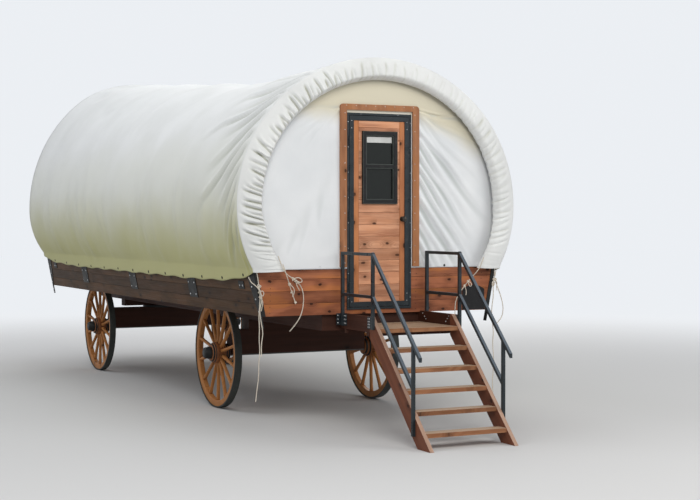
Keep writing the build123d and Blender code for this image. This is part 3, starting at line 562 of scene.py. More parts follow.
# Each rope: route from its upper end as sideways place, distance outward from the door
# wall and height; its length; and where knots sit, as shares of its length, with their size
ROPES = {
    "rope_left_corner": ([
        (-1.298, 0.060, 1.4985), (-1.271, 0.048, 1.385), (-1.251, 0.036, 1.274), (-1.259, 0.040, 1.178),
        (-1.266, 0.035, 1.077), (-1.260, 0.040, 0.967), (-1.264, 0.035, 0.865), (-1.256, 0.040, 0.764),
        (-1.270, 0.041, 0.648), (-1.267, 0.036, 0.525), (-1.288, 0.040, 0.405), (-1.302, 0.045, 0.297),
    ], 1.211, [(0.075, 0.019), (0.12, 0.015), (0.17, 0.011)]),
    "rope_left_side": ([
        (-1.326, -0.060, 1.440), (-1.335, 0.000, 1.399), (-1.312, 0.056, 1.372), (-1.268, 0.062, 1.325),
        (-1.236, 0.056, 1.242), (-1.270, 0.058, 1.146), (-1.252, 0.052, 1.040), (-1.230, 0.055, 0.925),
        (-1.253, 0.057, 0.818), (-1.249, 0.059, 0.710),
    ], 0.824, []),
    "rope_left_hem_short": ([
        (-1.068, 0.1348, 1.562), (-1.054, 0.165, 1.490), (-0.992, 0.100, 1.392), (-0.934, 0.042, 1.290),
        (-0.892, 0.034, 1.188),
    ], 0.447, [(0.56, 0.013), (0.78, 0.012), (0.97, 0.010)]),
    "rope_left_hem": ([
        (-1.116, 0.1352, 1.638), (-1.088, 0.140, 1.562), (-1.048, 0.143, 1.478), (-0.938, 0.096, 1.418),
        (-0.838, 0.046, 1.352), (-0.806, 0.030, 1.240), (-0.824, 0.032, 1.112), (-0.878, 0.035, 1.010),
        (-0.958, 0.040, 0.934),
    ], 0.898, [(0.35, 0.016), (0.39, 0.012), (0.43, 0.009)]),
    "rope_right_hem": ([
        (1.093, 0.135, 1.599), (1.064, 0.140, 1.536), (1.022, 0.142, 1.470), (0.958, 0.084, 1.378),
        (0.902, 0.044, 1.290), (0.846, 0.034, 1.210), (0.822, 0.030, 1.116), (0.828, 0.035, 1.014),
    ], 0.679, [(0.44, 0.013), (0.53, 0.013)]),
    "rope_right_loop": ([
        (1.262, 0.069, 1.4985), (1.268, 0.046, 1.395), (1.316, 0.045, 1.289), (1.358, 0.050, 1.179),
        (1.376, 0.055, 1.062), (1.342, 0.050, 0.966), (1.270, 0.045, 0.918),
    ], 0.641, [(0.14, 0.017)]),
    "rope_right_tail": ([
        (1.288, 0.0624, 1.4985), (1.262, 0.076, 1.412), (1.243, 0.066, 1.320), (1.260, 0.052, 1.216),
        (1.242, 0.045, 1.101), (1.247, 0.040, 0.981), (1.272, 0.035, 0.858), (1.255, 0.040, 0.735),
        (1.268, 0.044, 0.612), (1.270, 0.036, 0.487), (1.253, 0.040, 0.362), (1.260, 0.045, 0.243),
        (1.258, 0.041, 0.170),
    ], 1.341, [(0.085, 0.016), (0.125, 0.012)]),
}

# Bights and tails that hang from knots: the rope, the knot's share of its length, and
# the way on from the knot as places sideways, outward and up from it
LOOSE_ENDS = [
    ("rope_left_hem", 0.35, [(0.028, 0.006, 0.014), (0.066, 0.008, 0.010), (0.092, 0.006, -0.018),
                             (0.070, 0.008, -0.036), (0.030, 0.006, -0.016), (0.004, 0.002, -0.004)]),
    ("rope_left_hem", 0.39, [(0.004, 0.008, -0.030), (0.020, 0.006, -0.062), (0.036, 0.004, -0.088)]),
    ("rope_left_hem_short", 0.56, [(0.034, 0.008, -0.024), (0.050, 0.008, -0.062), (0.040, 0.006, -0.100),
                                   (0.030, 0.004, -0.118)]),
    ("rope_left_corner", 0.12, [(0.020, 0.008, 0.016), (0.040, 0.008, -0.006), (0.030, 0.006, -0.040),
                                (0.006, 0.004, -0.030), (0.0, 0.002, -0.006)]),
    ("rope_left_corner", 0.17, [(0.026, 0.006, -0.030), (0.022, 0.006, -0.082), (0.008, 0.004, -0.128)]),
    ("rope_right_hem", 0.44, [(0.030, 0.006, -0.008), (0.036, 0.006, -0.046), (0.010, 0.006, -0.050),
                              (0.0, 0.003, -0.012)]),
    ("rope_right_hem", 0.53, [(0.022, 0.006, -0.040), (0.014, 0.004, -0.090)]),
    ("rope_right_tail", 0.085, [(-0.026, 0.006, -0.016), (-0.030, 0.006, -0.060), (-0.004, 0.006, -0.066),
                                (0.004, 0.003, -0.020)]),
    ("rope_right_loop", 0.14, [(0.024, 0.006, -0.030), (0.012, 0.006, -0.078), (0.020, 0.004, -0.112)]),
]


def rope_curve(name, route):
    """A NURBS curve whose control points are the route."""
    data = bpy.data.curves.new(name, "CURVE")
    data.dimensions = "3D"
    spline = data.splines.new("NURBS")
    spline.points.add(len(route) - 1)
    for point, (x, outward, z) in zip(spline.points, route):
        point.co = (x, WALL_Y - outward, z, 1.0)
    spline.order_u = 3
    spline.use_endpoint_u = True
    spline.resolution_u = 12
    return add_object(name, data)


def line_points(curve):
    """Points read from a curve that has no bevel yet."""
    mesh = bpy.data.meshes.new_from_object(curve)
    points = [v.co.copy() for v in mesh.vertices]
    bpy.data.meshes.remove(mesh)
    return points


def cord_tube(name, line, closed):
    """A tube of the same cord along a line of points."""
    rings = []
    last = len(line) - 1
    for i, point in enumerate(line):
        after = line[(i + 1) % len(line)] if closed else line[min(i + 1, last)]
        before = line[i - 1] if closed else line[max(i - 1, 0)]
        tangent = (after - before).normalized()
        aside = tangent.cross(Vector((0, 1, 0))).normalized()
        rings.append(circle(point, aside, tangent.cross(aside), ROPE_DIAMETER * 0.46, 8))
    shape = Shape()
    if closed:
        shape.grid(rings + rings[:1], closed=True)
    else:
        shape.tube(rings)
    return shape.piece(name, "wagon", ROPE, "rope")


def knot(name, centre, size, turn):
    """A trefoil knot of the same cord."""
    loop = []
    for t in turns(42):
        point = Vector((math.sin(t) + 2 * math.sin(2 * t), -math.sin(3 * t) * 0.8,
                        math.cos(t) - 2 * math.cos(2 * t))) * (size / 3)
        loop.append(Matrix.Rotation(turn, 3, "Y") @ point + centre)
    return cord_tube(name, loop, True)


def loose_end(name, centre, way):
    """A bight or a tail, smooth along its way from a knot."""
    route = [(centre.x + across, WALL_Y - centre.y + outward, centre.z + up)
             for across, outward, up in [(0, 0, 0), *way]]
    guide = rope_curve(name, route)
    line = line_points(guide)
    bpy.data.objects.remove(guide)
    return cord_tube(name, line, False)


def build_rope(name, route, knots):
    """A rope with its knots and loose ends."""
    curve = rope_curve(name + "_cord", route)
    line = line_points(curve)
    curve.data.bevel_depth = ROPE_DIAMETER / 2
    curve.data.bevel_resolution = 3
    curve.data.use_fill_caps = True
    curve.data.materials.append(ROPE)
    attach(curve, "wagon")
    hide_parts(name)
    for index, (share, size) in enumerate(knots):
        centre = line[round(share * (len(line) - 1))]
        knot("%s_knot_%d" % (name, index), centre, size, 0.9 * index + 0.4)
    ends = [(share, way) for rope, share, way in LOOSE_ENDS if rope == name]
    for index, (share, way) in enumerate(ends):
        centre = line[round(share * (len(line) - 1))]
        loose_end("%s_end_%d" % (name, index), centre, way)
    x, outward, z = route[0]
    WALL_Y - outward


for name, (route, length, knots) in ROPES.items():
    build_rope(name, route, knots)


# Outlines of the cover

def arch_measures(y):
    """Crown height and half width of the cover at a place along the wagon."""
    rear, middle, front = COVER_STATIONS
    before, after = (rear, middle) if y <= middle[0] else (middle, front)
    share = (y - before[0]) / (after[0] - before[0])
    return [low + share * (high - low) for low, high in zip(before[1:], after[1:])]


def side_x(z, outward=0.0):
    """Half width of the flared side at a height, a given depth outside its face."""
    return FLOOR_HALF_WIDTH + SIDE_FLARE * (z - BOARD_BOTTOM) + outward * SIDE_SLANT


def side_facing(side):
    """The direction that a side's planks face."""
    return (side / SIDE_SLANT, 0, -SIDE_FLARE / SIDE_SLANT)


def lengths_along(points):
    """How far along an outline each of its points lies."""
    return np.concatenate([[0], np.cumsum(np.hypot(*np.diff(points, axis=0).T))])


def arch_outline(crown, half_width, knee, foot, foot_z, shares):
    """Points (x, z) from the left foot over the crown to the right foot, at shares of the way round.

    Each half is a straight foot, an arc from the knee to the widest place, and two arcs of
    45 degrees from there to the crown."""
    height = crown - WIDEST_Z
    across = upward = math.sqrt(0.5)
    scale = across * upward - (1 - across) * (1 - upward)
    side_radius = (across * height - (1 - upward) * half_width) / scale
    crown_radius = (upward * half_width - (1 - across) * height) / scale
    rise = WIDEST_Z - KNEE_Z
    out = half_width - knee
    low_radius = (rise ** 2 + out ** 2) / (2 * out)
    steps = np.linspace(0, 1, 41)[1:]
    low = math.asin(rise / low_radius) * (1 - steps)
    side = math.radians(45) * steps
    top = math.radians(45) * (1 - steps)
    x = np.concatenate([[foot, knee], half_width - low_radius * (1 - np.cos(low)),
                        half_width - side_radius * (1 - np.cos(side)), crown_radius * np.sin(top)])
    z = np.concatenate([[foot_z, KNEE_Z], WIDEST_Z - low_radius * np.sin(low),
                        WIDEST_Z + side_radius * np.sin(side), crown - crown_radius * (1 - np.cos(top))])
    whole = np.stack([np.concatenate([-x, x[-2::-1]]), np.concatenate([z, z[-2::-1]])], axis=1)
    travel = lengths_along(whole)
    at = np.asarray(shares) * travel[-1]
    return np.stack([np.interp(at, travel, whole[:, 0]), np.interp(at, travel, whole[:, 1])], axis=1)


def cover_outline(measures, foot_z, shares, inset=0.0):
    """The cover's outline for a crown height and half width, or one that lies inset within it."""
    crown, half_width = measures
    off = COVER_OFF - inset
    return arch_outline(crown - inset, half_width - inset, side_x(KNEE_Z, off), side_x(foot_z, off),
                        foot_z, shares)


def outline_normals(points):
    """Outward unit normals of an outline that runs from left to right."""
    tangent = np.gradient(points, axis=0)
    tangent /= np.linalg.norm(tangent, axis=1)[:, None]
    return np.stack([-tangent[:, 1], tangent[:, 0]], axis=1)


def lifted(outline, normals, y, lift):
    """Points of an outline at places along the wagon, moved outward by a lift."""
    return np.stack([outline[..., 0] + normals[..., 0] * lift, y, outline[..., 1] + normals[..., 1] * lift],
                    axis=-1)


def stretches(*parts):
    """Values that rise in even steps through stretches given as (start, end, count)."""
    values = [np.linspace(start, end, count, endpoint=False) for start, end, count in parts]
    return np.concatenate(values + [[parts[-1][1]]])


def smooth_step(value, low, high):
    share = np.clip((value - low) / (high - low), 0, 1)
    return share * share * (3 - 2 * share)


# Cover

BOW_INSET = 0.0285
BOW_PLACES = [WALL_Y - BOW_INSET] + [WALL_Y + 0.97 + 1.33 * i for i in range(5)] + [FAR_WALL_Y + BOW_INSET]
GROMMET_START = 0.198
GROMMET_PITCH = 0.553
GROMMET_COUNT = 13
FOLD_RUN = 7.2                   # the length over which folds are strewn


def cover_foot(y, side):
    """Height of the cover's lower edge, pulled down at its grommets."""
    from_wall = min(y - WALL_Y, FAR_WALL_Y - y)
    corner = 0.118 * math.exp(-max(from_wall + 0.11, 0) / 0.42)
    phase = (y - WALL_Y - GROMMET_START) / GROMMET_PITCH
    scallop = 0.013 * (1 - math.cos(2 * math.pi * phase)) / 2
    drift = 0.008 * noise.noise(Vector((y * 1.3, side * 4.0, 2.0)))
    return 1.368 + corner + scallop + drift


def tension_fold(travel, y, start, angle, width, depth, reach, widen=0.0):
    """A long shallow fold on the side of the cover: a ridge with a hollow beside it.

    It starts at (travel, y) and runs at an angle in degrees from +Y. Over its reach it grows
    wider by the share widen."""
    up, forward = math.sin(math.radians(angle)), math.cos(math.radians(angle))
    along = (travel - start[0]) * up + (y - start[1]) * forward
    aside = (y - start[1]) * up - (travel - start[0]) * forward
    fade = smooth_step(along, 0.0, 0.12) * (1 - smooth_step(along, reach * 0.45, reach))
    width = width * (1 + widen * np.clip(along / reach, 0, 1))
    across = aside / width
    return depth * fade * (np.exp(-across ** 2) - 0.8 * np.exp(-(across - 1.6) ** 2))


def cover_points(shares, stations):
    """The cloth over the bows: sagging between them, drawn into folds by its ties.

    Gives the points, and how deep in a pulled fold each of them lies."""
    rng = random.Random(7)
    outlines = np.array([cover_outline(arch_measures(y), cover_foot(y, 1), shares) for y in stations])
    normals = np.array([outline_normals(outline) for outline in outlines])
    from_left = np.array([lengths_along(outline) for outline in outlines])
    from_right = from_left[:, -1:] - from_left
    share = from_left / from_left[:, -1:]
    y = np.repeat(stations[:, None], len(shares), axis=1)
    from_bow = np.min(np.abs(y[:, :, None] - np.array(BOW_PLACES)), axis=2)
    bay = smooth_step(from_bow, 0.0, 0.62)
    offset = -0.030 * bay * smooth_step(np.minimum(from_left, from_right), 0.0, 0.5)
    pulled = np.zeros_like(share)
    for from_foot in (from_left, from_right):
        for index in range(26):
            place = WALL_Y - 0.05 + rng.random() * FOLD_RUN
            start = (0.05 + rng.random() * 0.25, place)
            angle = 90 - rng.uniform(-24, 24)
            offset += tension_fold(from_foot, y, start, angle, width=rng.uniform(0.060, 0.110),
                                   depth=rng.uniform(0.005, 0.011), reach=rng.uniform(0.7, 1.7))
        for lower in spread(0, 1, 17):
            start = (3.00 - 2.40 * lower + rng.uniform(-0.06, 0.06), WALL_Y - 0.10)
            fall = 5 + 70 * lower ** 2.1 + rng.uniform(-4, 4)
            width = rng.uniform(0.016, 0.026) * (1.25 - 0.4 * lower)
            depth = rng.uniform(0.013, 0.025)
            reach = 2.0 - 1.05 * lower + rng.uniform(-0.45, 0.25)
            pulled += tension_fold(from_foot, y, start, -fall, width, depth, reach, widen=1.1)
    for index in range(30):
        start = (rng.uniform(2.2, 4.6), WALL_Y + rng.random() * FOLD_RUN)
        angle = rng.uniform(-25, 25)
        offset += tension_fold(from_left, y, start, angle, width=rng.uniform(0.09, 0.14),
                               depth=rng.uniform(0.003, 0.007), reach=rng.uniform(0.6, 1.3))
    pulled *= 1 - smooth_step(np.minimum(share, 1 - share), 0.37, 0.42)
    near_rear = smooth_step(y, REAR_EDGE_Y, WALL_Y + 0.02)
    inside = near_rear * (1 - smooth_step(y, FAR_WALL_Y - 0.06, FRONT_EDGE_Y))
    lowest = -0.0005 - 0.045 * smooth_step(from_bow, 0.026, 0.13)
    offset = np.clip((offset + pulled) * inside, lowest, 0.020)
    points = lifted(outlines, normals, y, offset)
    wobble = 0.004 * np.array([[noise.noise(Vector(p * 2.2)) for p in row] for row in points])
    fold_shade_depth = np.clip(-pulled * near_rear / 0.016, 0, 1)
    return lifted(outlines, normals, y, offset + wobble * inside * bay), fold_shade_depth


def thickness(piece):
    """Gives cloth its thickness, towards the inside."""
    solid = piece.modifiers.new("thickness", "SOLIDIFY")
    solid.thickness = CLOTH_THICKNESS
    solid.offset = -1


def build_cover():
    shares = stretches((0.0, 0.42, 165), (0.42, 0.58, 22), (0.58, 1.0, 108))
    stations = stretches((REAR_EDGE_Y, WALL_Y + 0.8, 66), (WALL_Y + 0.8, FRONT_EDGE_Y, 96))
    points, fold_shade_depth = cover_points(shares, stations)
    shape = Shape()
    shape.grid(points)
    piece = shape.piece("cover_canvas", "wagon", CLOTH, "canvas", creases=fold_shade_depth.ravel())
    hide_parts("cover")
    thickness(piece)


# Gathered bands round the cover's mouths

HEM_TRAVEL = 6.4                 # round the band, in the pleats' own measure
HEM_CROWN = 3.300                # the drawstring's outline
HEM_HALF_WIDTH = 1.235
HEM_FOOT = 1.035
HEM_FOOT_Z = 1.500
HEM_FORWARD = 0.075


def hem_pleats(rng):
    """Pleats along the band: place, depth, where each begins, lean and width.

    They are deep and long on the left side, and soft over the crown and on the right."""
    pleats = []
    at = 0.02
    while at < HEM_TRAVEL:
        soft = float(smooth_step(at, 2.3, 3.3))
        long_one = rng.random() < 0.6
        begin = rng.uniform(0.04, 0.24) if long_one else rng.uniform(0.24, 0.50)
        depth = rng.uniform(0.6, 1.35) * (1 - 0.60 * soft)
        width = rng.uniform(0.009, 0.017) * (1 + 0.6 * soft)
        pleats.append((at, depth, begin * (1 - 0.5 * soft), rng.uniform(-0.06, 0.06), width))
        at += rng.uniform(0.036, 0.082) * (1 + 0.25 * soft)
    return pleats


def pleat_fold(pleats, travel, v):
    """How far the pleats lift one row of the band, whose share of the way to the drawstring is v."""
    fold = np.zeros_like(travel)
    for middle, strength, begin, lean, width in pleats:
        grow = float(smooth_step(v, begin, begin + 0.36)) ** 0.8
        if grow > 0:
            gap = travel - middle - lean * (1 - v)
            reach = width * (1.5 - 0.6 * grow)
            fold -= strength * grow * np.exp(-np.abs(gap / reach) ** 1.4)
            fold += 0.45 * strength * grow * np.exp(-((gap - 2.2 * reach) / (1.3 * reach)) ** 2)
    return fold


def hem_rows(station, outward, seed, columns, rows):
    """The gathered band, from the hoop's ridge to the drawstring, and how deep in a pleat each point lies."""
    place, *measures = station
    foot_z = cover_foot(place, 1)
    shares = np.linspace(0, 1, columns)
    outer = cover_outline(measures, foot_z, shares)
    knee = HEM_FOOT + (KNEE_Z - HEM_FOOT_Z) * SIDE_FLARE
    inner = arch_outline(HEM_CROWN, HEM_HALF_WIDTH, knee, HEM_FOOT, foot_z + 0.01, shares)
    travel = np.linspace(0, HEM_TRAVEL, columns)
    pleats = hem_pleats(random.Random(seed))
    free = smooth_step(inner[:, 1], 1.56, 1.78)
    rightward = smooth_step(inner[:, 0], -0.2, 0.7)
    turned_in = 0.030 + (0.062 - 0.030 * rightward) * smooth_step(inner[:, 1], 1.78, 2.15)
    lip_start = 0.84 - 0.10 * rightward
    crimp = np.zeros(columns)
    for middle, strength, begin, lean, width in pleats:
        crimp += strength * np.exp(-((travel - middle) / (0.9 * width)) ** 2)
    band = []
    fold_shade_depth = []
    for v in spread(0, 1, rows):
        base = outer * (1 - v) + inner * v
        bulge = math.sin(math.pi * v) ** 0.8 * 0.022
        fold = pleat_fold(pleats, travel, v) * (0.15 + 0.85 * free)
        lift = bulge * 0.6 + 0.006 * fold * v + 0.003 * crimp * v ** 6 * free
        depth = HEM_FORWARD * math.sin(v * math.pi / 2) + bulge * 0.5 + 0.021 * fold
        lip = turned_in * np.clip((v - lip_start) / (1 - lip_start), 0, 1) ** (1.5 + rightward)
        band.append(lifted(base, outline_normals(base), place + outward * (depth - lip), lift))
        fold_shade_depth.append(np.clip(-fold * 0.9 - 0.12, 0, 1))
    if outward > 0:
        band = [row[::-1] for row in band]
        fold_shade_depth = [row[::-1] for row in fold_shade_depth]
    return band, fold_shade_depth


def build_hem(name, node, station, outward, seed, columns, rows):
    shape = Shape()
    band, fold_shade_depth = hem_rows(station, outward, seed, columns, rows)
    shape.grid(band[::-1])
    piece = shape.piece(name, "wagon", HEM_CLOTH, "canvas", creases=np.concatenate(fold_shade_depth[::-1]))
    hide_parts(node)
    thickness(piece)


# Canvas of the end walls

WALL_INSET = 0.0095              # from the cover's outline
WALL_CLOTH_LOW = 1.505


def crease_at(x, z, start, slope, reach, width, depth, ease=0.05):
    """A pulled crease: a ridge with a hollow beside it, from a start down along a slope.

    It rises over the length ease and dies out over its reach."""
    angle = math.radians(slope)
    dx, dz = x - start[0], z - start[1]
    along = dx * math.cos(angle) + dz * math.sin(angle)
    aside = dz * math.cos(angle) - dx * math.sin(angle)
    if not -0.02 <= along <= reach or abs(aside) > 6 * width:
        return 0.0
    aside += 0.010 * math.sin(8.0 * along + 31.0 * start[1])
    fade = min(1.0, max(0.0, (along + 0.02) / ease)) * (1 - (along / reach) ** 2)
    across = aside / (width * (1 + 0.8 * along / reach))
    return depth * fade * (math.exp(-across ** 2) - 0.7 * math.exp(-(across + 1.7) ** 2))


def wall_creases(seed):
    """Creases beside the door: slanting ones at the right, upright ones at the left.

    Each is (start, slope, reach, width, depth) and at times the ease, as crease_at takes them."""
    rng = random.Random(seed)
    creases = []
    for index in range(11):
        start = (0.42, 2.86 - 0.118 * index + rng.uniform(-0.025, 0.025))
        slope = -48 - 0.9 * index + rng.uniform(-4, 4)
        reach = min(rng.uniform(0.85, 1.35), (start[1] - 1.46) / math.sin(math.radians(-slope)))
        creases.append((start, slope, reach, rng.uniform(0.015, 0.025), rng.uniform(0.015, 0.024)))
    for index in range(6):
        start = (0.42, 3.04 - 0.012 * index)
        slope = -8 - 8.5 * index + rng.uniform(-3, 3)
        creases.append((start, slope, rng.uniform(0.7, 1.0), rng.uniform(0.010, 0.016),
                        rng.uniform(0.006, 0.011)))
    for index in range(5):
        start = (-0.46 - 0.11 * index + rng.uniform(-0.03, 0.03), 2.45 - 0.16 * index)
        creases.append((start, -94 - 4 * index, rng.uniform(0.6, 0.85), rng.uniform(0.024, 0.045),
                        rng.uniform(0.006, 0.010), 0.35))
    creases += [((-0.43, 3.02), -172 + 11 * index, 0.55, 0.014, 0.0035) for index in range(5)]
    return creases


def wall_point(x, z, half, seed, creases):
    """How far the end wall's cloth stands out, and how deep in a crease the place lies."""
    slack = 0.004 * noise.noise(Vector((x * 1.1, z * 1.1, seed + 3.0))) + 0.002
    pulled = sum(crease_at(x, z, *crease) for crease in creases)
    edge = min(abs(abs(x) - half), 0.15) / 0.15
    return max((slack + pulled) * edge, -0.0005), min(1.0, max(0.0, -pulled * edge / 0.012))


def build_wall_canvas(name, node, y_wall, outward, with_door, seed, side_columns, rows):
    """The flat cloth of an end wall, cut round the door frame."""
    crown, half_width = arch_measures(y_wall)
    outline = cover_outline((crown, half_width), WALL_CLOTH_LOW, np.linspace(0, 1, 900), WALL_INSET)
    right = outline[len(outline) // 2:]
    right = right[np.argsort(right[:, 1])]
    top = crown - WALL_INSET
    heights = list(np.linspace(WALL_CLOTH_LOW, 2.96, rows))
    heights += list(top - (top - FRAME_TOP) * np.cos(np.linspace(0, math.pi / 2, rows // 2)) ** 1.5)
    middle_columns = side_columns // 2
    creases = wall_creases(seed) if with_door else []
    points = []
    fold_shade_depth = []
    for z in heights:
        half = float(np.interp(z, right[:, 1], right[:, 0]))
        inner = FRAME_HALF_WIDTH if with_door else 0.05
        if half < 1.0:
            inner = min(inner, half * 0.35)
        for x in [*np.linspace(-half, -inner, side_columns),
                  *np.linspace(-inner, inner, middle_columns + 2)[1:-1],
                  *np.linspace(inner, half, side_columns)]:
            off, deep = wall_point(x, z, half, seed, creases)
            points.append((x, y_wall + outward * (0.0045 + off), z))
            fold_shade_depth.append(deep)
    count = 2 * side_columns + middle_columns
    faces = []
    for r in range(len(heights) - 1):
        for c in range(count - 1):
            in_middle = side_columns - 1 <= c < side_columns + middle_columns
            if with_door and in_middle and heights[r] < FRAME_TOP - 0.002:
                continue
            a = r * count + c
            face = (a, a + 1, a + 1 + count, a + count)
            faces.append(face if outward < 0 else face[::-1])
    used = sorted({i for face in faces for i in face})
    renumber = {old: new for new, old in enumerate(used)}
    shape = Shape()
    shape.add([points[i] for i in used], [tuple(renumber[i] for i in face) for face in faces])
    piece = shape.piece(name, "wagon", WALL_CLOTH, "canvas", creases=[fold_shade_depth[i] for i in used])
    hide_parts(node)
    thickness(piece)
    height = crown - WALL_CLOTH_LOW
    area = sum(p.area for p in piece.data.polygons)
    2 * half_width
    min(area, 2 * half_width * height)


build_cover()
build_hem("rear_gathers", "rear_hem", COVER_STATIONS[0], outward=-1, seed=11,
          columns=1500, rows=28)
build_hem("front_gathers", "front_hem", COVER_STATIONS[-1], outward=1, seed=12,
          columns=900, rows=20)
build_wall_canvas("rear_wall_cloth", "rear_wall_canvas", WALL_Y, outward=-1, with_door=True, seed=5,
                  side_columns=105, rows=120)
build_wall_canvas("front_wall_cloth", "front_wall_canvas", FAR_WALL_Y, outward=1, with_door=False, seed=9,
                  side_columns=40, rows=50)


# Pieces that keep their shape: material, width of the softened edges, and nodes
FINISHES = [
    (WOOD_END, 0.0035, ["rear_end_boards", "front_end_boards"]),
    (WOOD_SIDE, 0.0035, ["side_boards_left", "side_boards_right"]),
    (WOOD_FLOOR, 0.001, ["floor_deck"]),
    (WOOD_CROSS, 0.003, ["floor_joists", "sill_bearers", "landing_bearers", "rear_bolster", "rear_riser",
                         "turntable_riser", "front_bolster"]),
    (WOOD_LONG, 0.003, ["floor_sills", "hounds"]),
    (WOOD_TREAD, 0.004, ["landing_boards", "stair_treads"]),
    (WOOD_RIM, 0.004, ["landing_rims"]),
    (WOOD_STRINGER, 0.004, ["stair_stringers"]),
    (WOOD_TRIM, 0.003, ["door_trim"]),
    (WOOD_BOW, 0.003, ["bows"]),
    (STEEL, 0.003, ["rail_left", "rail_right", "door_frame", "door_leaf_steel"]),
    (BLACK, 0.0025, ["window_frame"]),
    (IRON, 0.0015, ["corner_irons", "side_irons", "turntable_plate", "turntable_ring", "drawbar_jaws"]),
    (AXLE, 0.0015, ["rear_axle", "front_axle"]),
    (BLACK, 0.002, ["blank_plaque"]),
    (BAND, 0.003, ["tyre_rear_left", "tyre_rear_right", "tyre_front_left", "tyre_front_right"]),
    (BRASS, 0.0, ["door_knob"]),
    (GLASS, 0.0, ["window_glass"]),
]

for material, edge, names in FINISHES:
    for name in names:
        nodes[name].data.materials.clear()
        nodes[name].data.materials.append(material)
        if edge:
            soften(nodes[name], edge)


# Door boards and window

def build_door_boards():
    """Stile boards with upright grain, and boards across between them and round the window."""
    depth = (WALL_Y - 0.004, WALL_Y + 0.022)
    inner = LEAF_HALF_WIDTH - STILE_WIDTH
    joint = 0.0006
    stiles = Shape()
    for side in (-1, 1):
        x = sorted((side * (inner + joint), side * LEAF_HALF_WIDTH))
        stiles.box(x, depth, (LEAF_LOW, LEAF_HIGH))
    soften(stiles.piece("door_stile_boards", "door", WOOD_STILE, "door_wood", smooth=False), 0.003)
    planks = Shape()
    seam = DOOR_SEAM
    while seam < LEAF_HIGH:
        low, high = max(seam, LEAF_LOW) + joint, min(seam + DOOR_PITCH, LEAF_HIGH) - joint
        seam += DOOR_PITCH
        if high - low < 0.01:
            continue
        below = (low, min(high, WINDOW_LOW))
        above = (max(low, WINDOW_HIGH), high)
        beside = (max(low, WINDOW_LOW), min(high, WINDOW_HIGH))
        for x, z in (((-inner, inner), below), ((-inner, inner), above),
                     ((-inner, -WINDOW_HALF_WIDTH), beside), ((WINDOW_HALF_WIDTH, inner), beside)):
            if z[0] < z[1]:
                planks.box(x, depth, z)
    piece = planks.piece("door_planks", "door", WOOD_DOOR, "door_wood", smooth=False)
    soften(piece, 0.0042)
    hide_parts("door_leaf_boards")


def build_window_parts():
    """Inner sashes, the bead round the rim and a pale strip at the top of the upper pane that is a painted
    reflection.
    """
    half = WINDOW_HALF_WIDTH - WINDOW_RIM
    sash = Shape()
    for heights in ((WINDOW_LOW + WINDOW_RIM, CROSS_BAR_Z[0]), (CROSS_BAR_Z[1], WINDOW_HIGH - WINDOW_RIM)):
        sash.border(half, heights, 0.011, (WALL_Y - 0.0175, WALL_Y - 0.0045))
    bead = Shape()
    bead.border(WINDOW_HALF_WIDTH, (WINDOW_LOW, WINDOW_HIGH), 0.006, (WALL_Y - 0.027, WALL_Y - 0.023))
    # A pale bar across the top of the upper pane: a painted reflection of the sky.
    strip = Shape()
    strip.box((-half + 0.013, half - 0.015), (WALL_Y - 0.003, WALL_Y + 0.0015), TOP_STRIP_Z)
    for shape, name, material, edge, segments in [(sash, "window_sashes", SASH, 0.0022, 2),
                                                  (bead, "window_bead", SASH, 0.001, 1),
                                                  (strip, "window_painted_reflection", SKY_REFLECTION_PAINT, 0.002, 2)]:
        soften(shape.piece(name, "door", material, "door_steel", smooth=False), edge, segments)


# Screws, bolts, nails and eyes

TO_DOOR_END = (0, -1, 0)
TO_FAR_END = (0, 1, 0)
TRIM_FACE = 0.026                # faces in front of the door wall
FRAME_FACE = 0.010
PLAQUE_FACE = 0.008
SIDE_PLATE_FACE = 0.006          # faces of the steel plates in front of a side's planks


def on_wall(xs, depth, zs):
    """Places at a depth in front of the door wall, with the direction that they face."""
    return [((x, WALL_Y - depth, z), TO_DOOR_END) for x in xs for z in zs]


def fasteners(name, body, material, slot, places, radius, height, sides=12):
    """Round heads; each place is a centre on the surface and the direction it faces."""
    shape = Shape()
    profile = [(radius, -0.0005), (radius, height * 0.45), (radius * 0.8, height * 0.85), (0.0001, height)]
    for centre, facing in places:
        shape.lathe(profile, centre, facing, sides)
    shape.piece(name, body, material, slot)


def build_wall_screws():
    """Screws of the wooden border, the door frame, the leaf's rim and the black plate."""
    trim = on_wall(spread(-0.36, 0.36, 8), TRIM_FACE, [3.052])
    trim += on_wall((-0.377, 0.377), TRIM_FACE, spread(1.56, 2.98, 10))
    fasteners("trim_screws", "wagon", ZINC, "knob_metal", trim, radius=0.0042, height=0.002)
    door_frame = on_wall((-0.3355, 0.3355), FRAME_FACE, spread(1.22, 2.90, 8))
    door_frame += on_wall((-0.2, 0.2), FRAME_FACE, [2.9745])
    fasteners("frame_screws", "wagon", ZINC, "knob_metal", door_frame, radius=0.0036, height=0.0018)
    leaf = on_wall((-0.298, 0.298), FRAME_FACE, (1.19, 1.26, 2.84, 2.91))
    fasteners("leaf_screws", "door", ZINC, "knob_metal", leaf, radius=0.0036, height=0.0018)
    plaque = on_wall((0.942, 1.164), PLAQUE_FACE, (1.098, 1.262))
    fasteners("plaque_screws", "wagon", BLACK, "plate_black", plaque, radius=0.005, height=0.003)


